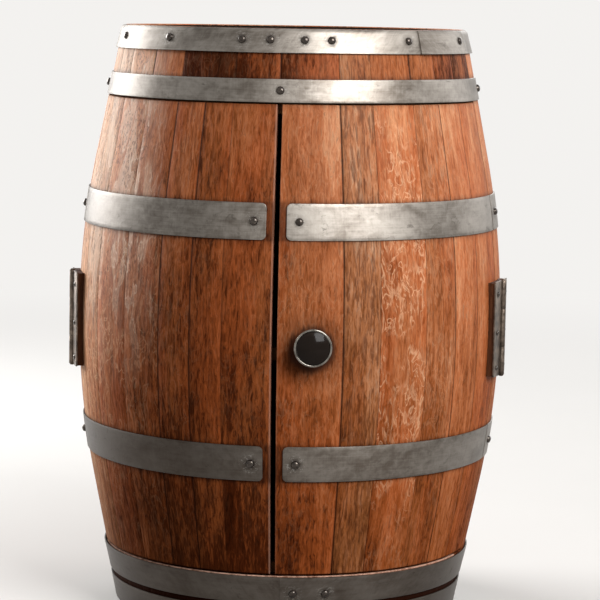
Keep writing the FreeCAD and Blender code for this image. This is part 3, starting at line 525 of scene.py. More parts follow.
@dataclass(frozen=True)
class HoopFinish:
    """Galvanised strip: mottled, a little brushed and stained round its nails, with painted light and painted
    shade on it.
    """

    name: str = "galvanised_strip"
    dull: Colour = (0.094, 0.077, 0.062)
    bright: Colour = (0.294, 0.268, 0.238)
    stain_and_shade: Colour = (0.030, 0.021, 0.015)
    scraped: Colour = (0.480, 0.460, 0.430)
    shade_below: float = 0.20
    bright_above: float = 0.62
    age: float = 0.74
    slant: float = 0.70

    def build(self) -> Material:
        """Make the material.

        Returns:
            The material.
        """
        material, graph, shader = new_material(self.name)
        place = graph.place(Grain.ATTRIBUTE)
        clouds = graph.noise(place, (12, 22, 12), 3.0, 0.60, 0.5)
        mottle = graph.noise(place, (85, 95, 85), 4.0, 0.62, 0.6)
        brushed = graph.noise(place, (14, 420, 14), 4.0, 0.70)
        hatched = graph.noise(place, (420, 40, 420), 3.0, 0.65)
        scuffs = graph.noise(place, (40, 60, 40), 5.0, 0.72, 1.0)
        scrapes = graph.noise(place, (150, 190, 150), 4.0, 0.72, 1.6)

        shade = graph.weigh([(clouds, 0.95), (mottle, 0.50), (brushed, 0.34), (hatched, 0.18)])
        colour = graph.mix(graph.remap(shade, 0.15, 0.85), self.dull, self.bright)
        across = graph.spot()[0]
        # Painted light: the strip is darker on the left of the front and brighter right of its middle, as
        # painted reflections of the lamps, and a little darker again at the far right end.
        side_light = graph.product(graph.remap(across, -0.16, 0.10), graph.remap(across, 0.14, 0.28, 1.0, 0.35))
        colour = graph.tinted(colour, graph.mix(side_light, (0.66,) * 3, (1.42,) * 3))
        # Painted shade: the strip darkens towards the foot, and through the slant more on the left than on
        # the right.
        level = graph.plus(graph.height_share(), graph.product(across, self.slant))
        low_shaded = graph.remap(level, self.shade_below, self.bright_above, self.age, 0.0)
        colour = graph.mix(low_shaded, colour, self.stain_and_shade)
        grime = graph.attribute("grime")
        frayed = graph.remap(graph.plus(grime, graph.product(graph.less(mottle, 0.5), 0.9)), 0.35, 1.0)
        scuffed = graph.product(graph.remap(scuffs, 0.57, 0.72), 0.50)
        share = graph.most(scuffed, graph.product(frayed, 0.85))
        colour = graph.mix(share, colour, self.stain_and_shade)
        pale = graph.product(graph.remap(scrapes, 0.50, 0.70), graph.remap(grime, 0.05, 0.50), 0.45)
        graph.feed(shader, {
            "Base Color": graph.mix(pale, colour, self.scraped), "Metallic": 0.85,
            "Roughness": graph.weigh([(clouds, 0.20), (brushed, 0.16), (mottle, 0.12), (share, 0.20)], 0.53),
            "Normal": graph.bump(mottle, 0.25, 0.7 * MM, graph.bump(brushed, 0.20, 0.3 * MM)),
        })
        return material


@dataclass(frozen=True)
class SteelFinish:
    """Plain steel: a tone that drifts a little, smudges and fine wear."""

    name: str
    dark: Colour
    light: Colour
    roughness: float
    metallic: float = 1.0
    lumps: float = 160.0
    relief: float = 0.25
    coat: float = 0.0

    def build(self) -> Material:
        """Make the material.

        Returns:
            The material.
        """
        material, graph, shader = new_material(self.name)
        place = graph.place(Grain.ALONG_Z)
        clouds = graph.noise(place, (self.lumps,) * 3, 4.0, 0.6)
        wear = graph.noise(place, (self.lumps * 6, self.lumps, self.lumps * 6), 3.0, 0.7)
        shade = graph.remap(graph.weigh([(clouds, 1.2), (wear, 0.6)]), 0.2, 0.9)
        graph.feed(shader, {
            "Base Color": graph.mix(shade, self.dark, self.light), "Metallic": self.metallic,
            "Roughness": graph.weigh([(clouds, 0.25), (wear, 0.20)], self.roughness),
            "Coat Weight": self.coat, "Coat Roughness": 0.10,
            "Normal": graph.bump(wear, self.relief, 0.2 * MM),
        })
        return material


@dataclass(frozen=True)
class GlossFinish:
    """Glossy dark coat with dust and faint smears: the knob's face and the inset top."""

    name: str
    colour: Colour
    dust: Colour
    roughness: float
    coat: float = 0.0
    sheen: float = 0.5
    grain_depth: float = 0.0
    grain: Grain = Grain.ALONG_X

    def build(self) -> Material:
        """Make the material.

        Returns:
            The material.
        """
        material, graph, shader = new_material(self.name)
        place = graph.place(self.grain)
        smears = graph.noise(place, (40, 14, 40), 4.0, 0.6, 0.6)
        specks = graph.noise(place, (900, 900, 900), 2.0, 0.5)
        fibres = graph.noise(place, (420, 8, 420), 4.0, 0.65)
        share = graph.product(graph.remap(specks, 0.62, 0.75), 0.35)
        share = graph.plus(share, graph.product(graph.remap(smears, 0.5, 0.8), 0.30))
        share = graph.plus(share, graph.product(graph.remap(fibres, 0.5, 0.8), self.grain_depth))
        graph.feed(shader, {
            "Base Color": graph.mix(share, self.colour, self.dust),
            "Roughness": graph.weigh([(smears, 0.22), (fibres, 0.12)], self.roughness),
            "Specular IOR Level": self.sheen, "Coat Weight": self.coat, "Coat Roughness": 0.06,
            "Normal": graph.bump(fibres, 0.3 * self.grain_depth + 0.02, 0.5 * MM),
        })
        return material


@dataclass(frozen=True)
class PlasticFinish:
    """Moulded dark plastic with a fine spark texture."""

    name: str = "moulded_plastic"
    colour: Colour = (0.045, 0.030, 0.022)
    worn: Colour = (0.090, 0.065, 0.050)

    def build(self) -> Material:
        """Make the material.

        Returns:
            The material.
        """
        material, graph, shader = new_material(self.name)
        place = graph.place(Grain.ALONG_Z)
        spark = graph.noise(place, (1600, 1600, 1600), 2.0)
        wear = graph.noise(place, (60, 60, 60), 4.0)
        graph.feed(shader, {
            "Base Color": graph.mix(graph.remap(wear, 0.4, 0.8), self.colour, self.worn),
            "Roughness": graph.remap(wear, 0.2, 0.8, 0.45, 0.62), "Normal": graph.bump(spark, 0.3, 0.2 * MM),
        })
        return material


class Finishes:
    """Every finish of the object, built once."""

    def __init__(self) -> None:
        """Build the materials."""
        self.stave_oak = OakFinish(
            "oiled_stave_oak", Grain.ATTRIBUTE, shade_and_dirt_bands=self.hoop_stains(), knob=self.knob_spot(),
            pale_ridge=span("lower_front_staves").high - 0.5 * MM,
        ).build()
        inner = {
            "deep": (0.10, 0.045, 0.018), "dark": (0.16, 0.074, 0.032), "middle": (0.29, 0.140, 0.062),
            "warm": (0.38, 0.195, 0.092), "pale": (0.47, 0.265, 0.135), "fleck": (0.55, 0.36, 0.21),
            "roughness": 0.62,
        }
        self.inner_oak = OakFinish("inner_oak", Grain.ATTRIBUTE, **inner).build()
        self.board_oak = OakFinish("board_oak", Grain.ALONG_Y, **inner).build()
        self.shelf_oak = OakFinish("shelf_oak", Grain.ALONG_X, **inner).build()
        # Painted shade: the packing blocks are coloured near black, so that they read as the shadow gap
        # beside the hinge leaves.
        dark = {
            "dark": (0.012, 0.005, 0.003), "middle": (0.050, 0.017, 0.007), "warm": (0.085, 0.030, 0.012),
            "pale": (0.13, 0.052, 0.023), "fleck": (0.10, 0.045, 0.02),
        }
        self.block_oak = OakFinish("packing_shadow_oak", Grain.ALONG_Z, **dark).build()
        self.hoops = HoopFinish().build()
        self.nails = SteelFinish(
            "nail_steel", (0.020, 0.015, 0.012), (0.090, 0.073, 0.060), 0.24, lumps=240, relief=0.2, coat=0.35
        ).build()
        self.hinges = SteelFinish(
            "hinge_plate_steel", (0.038, 0.028, 0.021), (0.23, 0.180, 0.142), 0.42, metallic=0.9, lumps=70
        ).build()
        self.zinc = SteelFinish("zinc_plate", (0.42, 0.42, 0.41), (0.66, 0.66, 0.64), 0.36, lumps=90).build()
        self.knob = SteelFinish(
            "polished_steel", (0.10, 0.090, 0.078), (0.34, 0.315, 0.280), 0.16, lumps=60, relief=0.08
        ).build()
        self.knob_face = GlossFinish(
            "black_gloss", (0.009, 0.005, 0.003), (0.034, 0.021, 0.013), 0.16, coat=0.10, sheen=0.06
        ).build()
        self.top = GlossFinish(
            "dark_stained_top", (0.014, 0.010, 0.008), (0.050, 0.034, 0.026), 0.60, sheen=0.0, grain_depth=0.8
        ).build()
        self.plastic = PlasticFinish().build()

    @staticmethod
    def hoop_stains() -> tuple[Pair, ...]:
        """Dirt and painted shade in a narrow band above and below each hoop, and painted shade above the
        bottom hoop and at the rim.

        Returns:
            Heights, and how dark the wood is there.
        """
        found = []
        bands = [
            (span("lower_quarter_hoop"), 0.45), (span("right_door_lower_strap"), 0.30),
            (span("right_door_upper_strap"), 0.30), (span("upper_quarter_hoop"), 0.40),
        ]
        for extent, depth in bands:
            low, high = extent.low, extent.high
            found += [(low - 9 * MM, 0.0), (low - 3 * MM, depth), (low, 0.78)]
            found += [(high, 0.65), (high + 2 * MM, depth), (high + 7 * MM, 0.0)]
        foot = span("bottom_hoop").high
        rim = ((LINE.height - 24 * MM, 0.0), (LINE.height - 20 * MM, 1.0), (LINE.height, 1.0))
        return ((foot - 2 * MM, 1.0), (foot + 12 * MM, 1.0)) + tuple(found[1:]) + rim

    @staticmethod
    def knob_spot() -> Pair:
        """Middle of the knob's painted shadow and of the dirt round it, across and up: a little left of and
        below the knob's own middle.
        """
        low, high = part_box("knob_face")
        return (low.x + high.x) / 2 - 4 * MM, (low.z + high.z) / 2 - 7 * MM


# ---- the barrel's line


@dataclass(frozen=True)
class BarrelLine:
    """The bowed line that staves and hoops follow: an arc at the bilge with straight ends."""

    height: float = 0.950
    bilge_radius: float = 0.348
    end_radius: float = 0.2797
    bent_height: float = 0.530

    @property
    def bilge_z(self) -> float:
        """Height of the widest place."""
        return self.height / 2

    @cached_property
    def taper(self) -> float:
        """Angle of the straight ends from upright, found by repeated approach.

        Returns:
            The angle.
        """
        drop = self.bilge_radius - self.end_radius
        slope = drop / self.bilge_z
        for _ in range(30):
            slope = drop / (self.bilge_z - self.bent_height / 2 / (1 + cos(atan(slope))))
        return atan(slope)

    @cached_property
    def bend_radius(self) -> float:
        """Radius of the arc."""
        return self.bent_height / 2 / sin(self.taper)

    @cached_property
    def bend_centre(self) -> float:
        """Signed distance of the arc's centre from the axis."""
        return self.bilge_radius - self.bend_radius

    def radius(self, z: float, offset: float = 0.0) -> float:
        """Radius of the line, or of one outside it.

        Args:
            z: Height.
            offset: Distance outside the line.

        Returns:
            The radius.
        """
        rise = abs(z - self.bilge_z)
        line = self.bend_radius + offset
        reach = line * sin(self.taper)
        if rise <= reach:
            return self.bend_centre + sqrt(line ** 2 - rise ** 2)
        return self.bend_centre + line * cos(self.taper) - tan(self.taper) * (rise - reach)

    def offset(self, radius: float, z: float) -> float:
        """Distance of a point outside the line.

        Args:
            radius: The point's radius.
            z: Its height.

        Returns:
            The offset.
        """
        rise = abs(z - self.bilge_z)
        line = hypot(radius - self.bend_centre, rise)
        if rise > line * sin(self.taper):
            line = (radius - self.bend_centre + tan(self.taper) * rise) * cos(self.taper)
        return line - self.bend_radius

    def offset_of(self, point: Vector) -> float:
        """Offset of a point in space."""
        return self.offset(hypot(point.x, point.y), point.z)

    def facing(self, azimuth: float, z: float) -> Vector:
        """Outward direction of the surface.

        Args:
            azimuth: Azimuth of the place.
            z: Its height.

        Returns:
            The direction.
        """
        rise = z - self.bilge_z
        lean = copysign(min(asin(min(1.0, abs(rise) / self.bend_radius)), self.taper), rise)
        flat = cos(lean)
        return Vector((flat * sin(azimuth), -flat * cos(azimuth), sin(lean)))


LINE = BarrelLine()


@dataclass(frozen=True)
class Span:
    """Where one CAD solid lies: azimuths, heights and offsets."""

    start: float
    end: float
    low: float
    high: float
    inner: float
    outer: float


def solids(node: str) -> list[list[Vector]]:
    """Corners of each separate solid of a CAD node.

    Args:
        node: The node's name.

    Returns:
        One list of points for each solid.
    """
    mesh = bmesh.new()
    mesh.from_mesh(frame["nodes"][node].data)
    bmesh.ops.remove_doubles(mesh, verts=mesh.verts, dist=0.01 * MM)
    waiting = set(mesh.verts)
    found = []
    while waiting:
        edge = [waiting.pop()]
        points = []
        while edge:
            vert = edge.pop()
            points.append(vert.co.copy())
            near = {link.other_vert(vert) for link in vert.link_edges} & waiting
            waiting -= near
            edge.extend(near)
        found.append(points)
    mesh.free()
    return sorted(found, key=lambda points: (round(min(p.z for p in points), 4), min(p.x for p in points)))


def centre(points: list[Vector]) -> Vector:
    """Mean of a solid's corners."""
    return sum(points, Vector()) / len(points)


def measure(points: list[Vector]) -> Span:
    """Extent of a solid about the barrel.

    Args:
        points: The solid's corners.

    Returns:
        Its span, with azimuths about its own middle.
    """
    middle = centre(points)
    about = atan2(middle.x, -middle.y)
    azimuths = [about + remainder(atan2(p.x, -p.y) - about, FULL_TURN) for p in points]
    heights = [p.z for p in points]
    offsets = [LINE.offset_of(p) for p in points]
    return Span(*(limit(values) for values in (azimuths, heights, offsets) for limit in (min, max)))


def span(node: str) -> Span:
    """Extent of a CAD node about the barrel."""
    return measure([vertex.co for vertex in frame["nodes"][node].data.vertices])


# ---- pieces


def put(name: str, data: bpy.types.ID) -> bpy.types.Object:
    """New object in the scene.

    Args:
        name: Its name.
        data: Its mesh, lamp or camera.

    Returns:
        The object.
    """
    item = bpy.data.objects.new(name, data)
    bpy.context.scene.collection.objects.link(item)
    return item


def dress(mesh: Mesh, material: Material) -> None:
    """Give a mesh this finish only."""
    mesh.materials.clear()
    mesh.materials.append(material)


def finish_piece(
    name: str, mesh: Mesh, body: Body, replaced: list[str], material: Material | None = None
) -> None:
    """Put a finished mesh into the scene as a piece of the object.

    Args:
        name: The piece's name.
        mesh: Its mesh, in place.
        body: The body that it rides on.
        replaced: CAD nodes that it stands for.
        material: Its finish, where the mesh doesn't carry one.
    """
    mesh.name = name
    if material is not None:
        dress(mesh, material)
    mesh.shade_smooth()
    mesh.set_sharp_from_angle(angle=SMOOTH_ANGLE)
    piece = put(name, mesh)
    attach(piece, body.value)
    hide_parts(*replaced)
    LOGGER.info("%s: %d faces on %s", name, len(mesh.polygons), body.value)


def mesh_from(points: list[Vector], faces: list[list[int]], cut: bool = True) -> Mesh:
    """Closed mesh with its faces outwards.

    Args:
        points: Corners.
        faces: Corner numbers of each face.
        cut: Whether faces with many corners are cut into triangles here.

    Returns:
        The mesh.
    """
    work = bmesh.new()
    verts = [work.verts.new(point) for point in points]
    for face in faces:
        work.faces.new([verts[number] for number in face])
    return turned_out(work, cut)


def turned_out(work: bmesh.types.BMesh, cut: bool = True, mesh: Mesh | None = None) -> Mesh:
    """Turn the faces of a closed mesh outwards.

    Args:
        work: The mesh under work, which is freed.
        cut: Whether faces with many corners are cut into triangles, which follow a bow.
        mesh: Where the result goes, or none for a new mesh.

    Returns:
        The finished mesh.
    """
    if cut:
        bmesh.ops.triangulate(work, faces=[face for face in work.faces if len(face.verts) > 4])
    bmesh.ops.recalc_face_normals(work, faces=work.faces)
    mesh = mesh or bpy.data.meshes.new("work")
    work.to_mesh(mesh)
    work.free()
    return mesh


def joined(meshes: list[Mesh]) -> Mesh:
    """Several meshes as one.

    Args:
        meshes: The meshes.

    Returns:
        A new mesh.
    """
    work = bmesh.new()
    for mesh in meshes:
        work.from_mesh(mesh)
    result = bpy.data.meshes.new("work")
    work.to_mesh(result)
    work.free()
    return result


def placed(mesh: Mesh, place: Matrix) -> Mesh:
    """Mesh moved to its place, with its faces turned back outwards where the place mirrors it.

    Args:
        mesh: The mesh, which is changed.
        place: Its place.

    Returns:
        The same mesh.
    """
    mesh.transform(place)
    if place.determinant() < 0:
        mesh.flip_normals()
    return mesh


def baked(carrier: bpy.types.Object) -> Mesh:
    """Mesh of an object with its modifiers applied.

    Args:
        carrier: The object, which is removed.

    Returns:
        A new mesh.
    """
    depsgraph = bpy.context.evaluated_depsgraph_get()
    result = bpy.data.meshes.new_from_object(carrier.evaluated_get(depsgraph), depsgraph=depsgraph)
    carrier.modifiers.clear()
    bpy.data.objects.remove(carrier)
    return result


def bevelled(mesh: Mesh, width: float) -> Mesh:
    """Mesh with its sharp edges rounded.

    Args:
        mesh: What is bevelled.
        width: Width of the bevel.

    Returns:
        A new mesh.
    """
    carrier = put("carrier", mesh)
    modifier = carrier.modifiers.new("bevel", "BEVEL")
    modifier.width = width
    modifier.segments = 2
    modifier.limit_method = "ANGLE"
    modifier.angle_limit = radians(35)
    return baked(carrier)


def evaluated(mesh: Mesh, tree: bpy.types.NodeTree, values: dict[str, object]) -> Mesh:
    """Run a Geometry Nodes tree on a mesh.

    Args:
        mesh: What the tree starts from.
        tree: The tree.
        values: Values of the tree's inputs by name.

    Returns:
        The result as a plain mesh.
    """
    carrier = put("carrier", mesh)
    modifier = carrier.modifiers.new("nodes", "NODES")
    modifier.node_group = tree
    for item in tree.interface.items_tree:
        if item.in_out == "INPUT" and item.name in values:
            modifier[item.identifier] = values[item.name]
    carrier.update_tag()
    return baked(carrier)


def new_tree(name: str, inputs: list[tuple[str, str]]) -> tuple[Graph, dict[str, Socket]]:
    """Empty Geometry Nodes tree with named inputs.

    Args:
        name: The tree's name.
        inputs: Name and kind of each input after the geometry.

    Returns:
        The tree's graph, and the output sockets of its inputs by name.
    """
    tree = bpy.data.node_groups.new(name, "GeometryNodeTree")
    tree.interface.new_socket(name="Geometry", in_out="INPUT", socket_type="NodeSocketGeometry")
    tree.interface.new_socket(name="Geometry", in_out="OUTPUT", socket_type="NodeSocketGeometry")
    for label, kind in inputs:
        tree.interface.new_socket(name=label, in_out="INPUT", socket_type=f"NodeSocket{kind}")
    graph = Graph(tree)
    source = graph.add("NodeGroupInput")
    return graph, {socket.name: socket for socket in source.outputs if socket.name}


def set_values(mesh: Mesh, name: str, values: list, kind: str = "FLOAT") -> None:
    """Store one value for each point of a mesh as an attribute.

    Args:
        mesh: The mesh.
        name: The attribute's name.
        values: Numbers or vectors, in the points' order.
        kind: The attribute's type.
    """
    attribute = mesh.attributes.new(name, kind, "POINT")
    for item, value in zip(attribute.data, values):
        setattr(item, "value" if kind == "FLOAT" else "vector", value)


# ---- bending blanks round the barrel


@dataclass(frozen=True)
class Ring:
    """One cut across a blank: its share of the way along, a distance on from there, and its outline.

    The outline is a closed list of offsets and heights. Every ring of a blank has as many points.
    """

    share: float
    inset: float
    outline: Profile


@dataclass(frozen=True)
class Place:
    """Where one copy of a blank goes, and the looks of its wood.

    A seam is the strength of the joint at that side: dirt above zero, a painted highlight along the edge
    below it.
    """

    start: float
    end: float
    tone: float = 0.5
    figure: float = 0.2
    coarse: float = 0.3
    start_seam: float = 0.4
    end_seam: float = 0.4
    seed: float = 0.0
    lift: float = 0.0
    slope: float = 0.0

    @classmethod
    def traits(cls) -> list[str]:
        """Names of everything that a place stores on its point."""
        return [item.name for item in fields(cls)]


class Bender:
    """Geometry Nodes tree that bends copies of a straight blank round the barrel.

    A blank holds its share of the way along in X, its offset in Y and its height in Z. The tree puts
    a copy on each point of its mesh and bends it along the barrel's line between the point's start
    and end azimuths. It stores where the grain runs and the distance from the piece's sides.
    """

    def __init__(self) -> None:
        """Build the tree."""
        graph, source = new_tree("bend_round_barrel", [
            ("Blank", "Object"), ("Bilge height", "Float"), ("Bend radius", "Float"),
            ("Bend centre", "Float"), ("Taper", "Float"), ("Grain turned", "Float"), ("Finish", "Material"),
        ])
        blank = graph.add("GeometryNodeObjectInfo", {"Object": source["Blank"]}).outputs["Geometry"]
        copies = graph.out("GeometryNodeInstanceOnPoints", {"Points": source["Geometry"], "Instance": blank})
        solid = graph.out("GeometryNodeRealizeInstances", {"Geometry": copies})

        def named(name: str) -> Socket:
            """Value of one of the points' attributes."""
            return graph.out("GeometryNodeInputNamedAttribute", {"Name": name}, data_type="FLOAT")

        blank_place = graph.out("GeometryNodeInputPosition")
        share, depth, z = graph.add("ShaderNodeSeparateXYZ", {0: blank_place}).outputs
        start, end, taper = named("start"), named("end"), source["Taper"]
        offset = graph.plus(depth, named("lift"))
        line = graph.plus(source["Bend radius"], offset)
        rise = graph.math("ABSOLUTE", graph.less(z, source["Bilge height"]))
        reach = graph.product(line, graph.math("SINE", taper))
        square = graph.less(graph.math("POWER", line, 2.0), graph.math("POWER", rise, 2.0))
        bow = graph.math("SQRT", graph.most(square, 0.0))
        fall = graph.product(graph.math("TANGENT", taper), graph.less(rise, reach))
        straight = graph.less(graph.product(line, graph.math("COSINE", taper)), fall)
        chosen = graph.product(graph.math("GREATER_THAN", rise, reach), graph.less(straight, bow))
        radius = graph.plus(source["Bend centre"], graph.plus(bow, chosen))
        azimuth = graph.plus(start, graph.product(share, graph.less(end, start)))
        azimuth = graph.plus(azimuth, graph.math("DIVIDE", named("inset"), radius))

        middle = graph.product(graph.plus(start, end), 0.5)
        across = graph.product(graph.less(azimuth, middle), radius)
        seed = named("seed")
        turned = graph.product(source["Grain turned"], graph.less(z, across))
        grain = graph.out("ShaderNodeCombineXYZ", {
            0: graph.plus(graph.plus(across, turned), seed), 1: graph.plus(graph.less(z, turned), seed),
            2: graph.plus(offset, seed),
        })
        from_start, from_end = graph.less(azimuth, start), graph.less(end, azimuth)
        edge = graph.product(graph.math("MINIMUM", from_start, from_end), radius)
        past_middle = graph.math("GREATER_THAN", from_start, from_end)
        seam_change = graph.less(named("end_seam"), named("start_seam"))
        seam = graph.plus(named("start_seam"), graph.product(past_middle, seam_change))
        tone = graph.plus(named("tone"), graph.product(named("slope"), graph.less(share, 0.5)))
        for name, value, kind in (
            ("grain", grain, "FLOAT_VECTOR"), ("edge", edge, "FLOAT"), ("seam", seam, "FLOAT"),
            ("tone", tone, "FLOAT"), ("depth", depth, "FLOAT"),
        ):
            inputs = {"Geometry": solid, "Name": name, "Value": value}
            solid = graph.out("GeometryNodeStoreNamedAttribute", inputs, data_type=kind, domain="POINT")
        bent = graph.out("ShaderNodeCombineXYZ", {
            0: graph.product(radius, graph.math("SINE", azimuth)),
            1: graph.product(radius, graph.product(graph.math("COSINE", azimuth), -1.0)), 2: z,
        })
        solid = graph.out("GeometryNodeSetPosition", {"Geometry": solid, "Position": bent})
        graph.hand_over(solid, source["Finish"])
        self.tree = graph.tree

    def bend(
        self, rings: list[Ring], places: list[Place], finish: Material, grain_turned: float = 0.0
    ) -> Mesh:
        """Bend copies of one blank.

        Args:
            rings: The blank's cuts, in order along it.
            places: Where each copy goes.
            finish: Its material.
            grain_turned: 0 where the grain runs up the barrel, 1 where it runs round it.

        Returns:
            All copies as one mesh.
        """
        blank = put("blank", self.blank(rings))
        spots = bpy.data.meshes.new("spots")
        spots.from_pydata([(0, 0, 0)] * len(places), [], [])
        for name in Place.traits():
            set_values(spots, name, [getattr(place, name) for place in places])
        mesh = evaluated(spots, self.tree, {
            "Blank": blank, "Bilge height": LINE.bilge_z, "Bend radius": LINE.bend_radius,
            "Bend centre": LINE.bend_centre, "Taper": LINE.taper, "Grain turned": grain_turned,
            "Finish": finish,
        })
        bpy.data.objects.remove(blank)
        for name in ("start", "end", "start_seam", "end_seam", "seed", "inset", "lift", "slope"):
            mesh.attributes.remove(mesh.attributes[name])
        work = bmesh.new()
        work.from_mesh(mesh)
        return turned_out(work, mesh=mesh)

    @staticmethod
    def blank(rings: list[Ring]) -> Mesh:
        """Straight blank, whose faces are turned outwards while cuts of equal share stand apart.

        Args:
            rings: The blank's cuts, in order along it.

        Returns:
            Its mesh, with the insets on its points.
        """
        count = len(rings[0].outline)
        points = [Vector((ring.share, offset, z)) for ring in rings for offset, z in ring.outline]
        inset = [ring.inset for ring in rings for _ in ring.outline]
        faces = []
        for base in range(0, (len(rings) - 1) * count, count):
            for n in range(count):
                after = (n + 1) % count
                faces.append([base + n, base + after, base + count + after, base + count + n])
        faces += [list(range(count)), list(range((len(rings) - 1) * count, len(rings) * count))]
        apart = 10.0
        spread = [Vector((p.x + apart * distance, p.y, p.z)) for p, distance in zip(points, inset)]
        mesh = mesh_from(spread, faces, cut=False)
        for vertex, point in zip(mesh.vertices, points):
            vertex.co = point
        set_values(mesh, "inset", inset)
        return mesh


def rows(low: float, high: float, count: int) -> list[float]:
    """Evenly spaced values from low to high, ends included."""
    return [low + (high - low) * number / count for number in range(count + 1)]


def quarter_round(distance: float, radius: float) -> float:
    """Depth that a quarter round takes off.

    Args:
        distance: Distance from its edge.
        radius: Its radius.

    Returns:
        The depth.
    """
    if distance >= radius:
        return 0.0
    return radius - sqrt(radius ** 2 - (radius - distance) ** 2)


def arc(x: float, z: float, radius: float, start: float, end: float, count: int) -> Profile:
    """Points along an arc.

    Args:
        x: First coordinate of its centre.
        z: Second coordinate of its centre.
        radius: Its radius.
        start: Angle of its first point from the first axis.
        end: Angle of its last point.
        count: Number of steps.

    Returns:
        The points.
    """
    return [(x + radius * cos(turn), z + radius * sin(turn)) for turn in rows(start, end, count)]


# ---- staves


@dataclass(frozen=True)
class StaveLook:
    """The wood of one door stave, with its tone and slope standing partly for light and shade.

    Its seam is on the side of the doors' meeting edges. Its slope is how much paler its right side is.
    """

    tone: float
    figure: float
    coarse: float
    seam: float
    slope: float = 0.0


@dataclass
class Staves:
    """The staves: bowed, tapered boards with rounded arrises, crozes and chime bevels."""

    bender: Bender
    finishes: Finishes
    thickness: float = 27 * MM
    arris: float = 0.8 * MM
    joint_gap: float = 0.02 * MM
    end_arris: float = 1.2 * MM
    chime: float = 40 * MM
    croze_half: float = 2.8 * MM
    croze_depth: float = 5 * MM
    bevel_depth: float = 5 * MM
    bevel_height: float = 10 * MM
    row_height: float = 20 * MM
    back_widths: tuple[float, ...] = (
        66.0, 78.0, 58.0, 84.0, 62.0, 71.0,
        90.0, 55.0, 68.0, 76.0, 60.0, 82.0,
        64.0, 73.0, 57.0, 88.0, 61.0, 70.0,
    )
    # These tones and slopes, and the shades of the staves above the doors, stand partly for light: the left
    # door's staves are darker partly as painted shade, and the outermost left staves paler partly as painted
    # light from the left.
    left_looks: tuple[StaveLook, ...] = (
        StaveLook(0.25, 0.05, 0.25, -1.00, 0.06), StaveLook(0.26, 0.05, 0.35, 0.35, 0.04),
        StaveLook(0.28, 0.10, 0.50, 0.95, 0.00), StaveLook(0.37, 0.25, 0.40, 0.85, -0.08),
        StaveLook(0.52, 0.55, 0.50, 0.30, -0.14), StaveLook(0.76, 0.80, 0.80, 0.25, -0.16),
        StaveLook(1.00, 1.00, 0.70, 0.35, -0.10),
    )
    right_looks: tuple[StaveLook, ...] = (
        StaveLook(0.46, 0.15, 0.30, -0.30, 0.18), StaveLook(0.51, 0.10, 0.95, 1.00, 0.14),
        StaveLook(0.55, 0.80, 0.40, 0.35, 0.02), StaveLook(0.47, 0.20, 0.60, 0.30, -0.04),
        StaveLook(0.57, 0.10, 0.25, 0.65, -0.08), StaveLook(0.52, 0.05, 0.30, 0.55, -0.10),
    )
    above_shades: tuple[Pair, ...] = (
        (0.96, 0.00), (0.96, 0.00), (0.92, -0.10), (0.50, -0.30), (-0.16, 0.00), (-0.18, 0.00),
        (-0.04, 0.20), (0.10, 0.44), (0.34, -0.06), (0.26, 0.00), (0.22, 0.00), (0.06, 0.00), (0.02, -0.10),
    )
    above_figure: float = 0.06
    hinge_seam: float = 0.5
    usual_seams: tuple[float, ...] = (0.25, 0.35, 0.45, 0.9)
    grain_reach: float = 40.0
    sunk: float = 0.25 * MM
    door_sunk: float = 0.2 * MM
    seed: int = 11

    def outline(self, low: float, high: float, drop: float) -> Profile:
        """Section of a stave whose outer face lies this much lower.

        Args:
            low: Height of its lower end.
            high: Height of its upper end.
            drop: Depth of the arris here.

        Returns:
            Offsets and heights, up the outside and down the inside.
        """
        count = max(3, round((high - low) / self.row_height))
        foot = low < self.arris
        head = high > LINE.height - self.arris
        shoulder = LIP.start_z if head else high - self.end_arris
        outer = [(-self.end_arris, low)] + [(0.0, z) for z in rows(low + self.end_arris, shoulder, count)]
        outer += LIP.rim_round() if head else [(-self.end_arris, high)]
        back = -self.thickness
        inner = []
        if head:
            inner += [(back + self.bevel_depth, high), (back, high - self.bevel_height)]
            inner += self.croze(high - self.chime, back)[::-1]
        else:
            inner += [(back + self.end_arris, high), (back, high - self.end_arris)]
        top = inner[-1][1]
        bottom = low + (self.chime + self.croze_half if foot else self.end_arris)
        inner += [(back, z) for z in rows(bottom, top, count)[-2:0:-1]]
        if foot:
            inner += self.croze(low + self.chime, back)[::-1]
            inner += [(back, low + self.bevel_height), (back + self.bevel_depth, low)]
        else:
            inner += [(back, low + self.end_arris), (back + self.end_arris, low)]
        return [(offset - drop, z) for offset, z in outer] + inner

    def croze(self, z: float, back: float) -> Profile:
        """The croze's four corners, upwards.

        Args:
            z: Height of its middle.
            back: Offset of the stave's inner face.

        Returns:
            Offsets and heights.
        """
        floor = back + self.croze_depth
        low, high = z - self.croze_half, z + self.croze_half
        return [(back, low), (floor, low), (floor, high), (back, high)]

    def rings(self, low: float, high: float) -> list[Ring]:
        """Cuts across a stave from side to side.

        Args:
            low: Height of its lower end.
            high: Height of its upper end.

        Returns:
            The cuts.
        """
        steps = [share * self.arris for share in (0.0, 0.12, 0.42, 1.0)]
        left = [
            Ring(0.0, self.joint_gap / 2 + step, self.outline(low, high, quarter_round(step, self.arris)))
            for step in steps
        ]
        middle = [Ring(share, 0.0, self.outline(low, high, 0.0)) for share in (0.2, 0.35, 0.5, 0.65, 0.8)]
        right = [Ring(1.0, -ring.inset, ring.outline) for ring in reversed(left)]
        return left + middle + right

    def place(
        self, joints: Pair, look: StaveLook, seams: Pair, sunk: float, dice: random.Random
    ) -> Place:
        """Place of one stave.

        Args:
            joints: Azimuths of its two joints.
            look: Its wood.
            seams: Strength of the two joints.
            sunk: How far it may lie below its neighbours.
            dice: Source of the wood's variation.

        Returns:
            The place.
        """
        seed, lift = dice.uniform(0, self.grain_reach), -dice.uniform(0, sunk)
        return Place(*joints, look.tone, look.figure, look.coarse, *seams, seed, lift, look.slope)

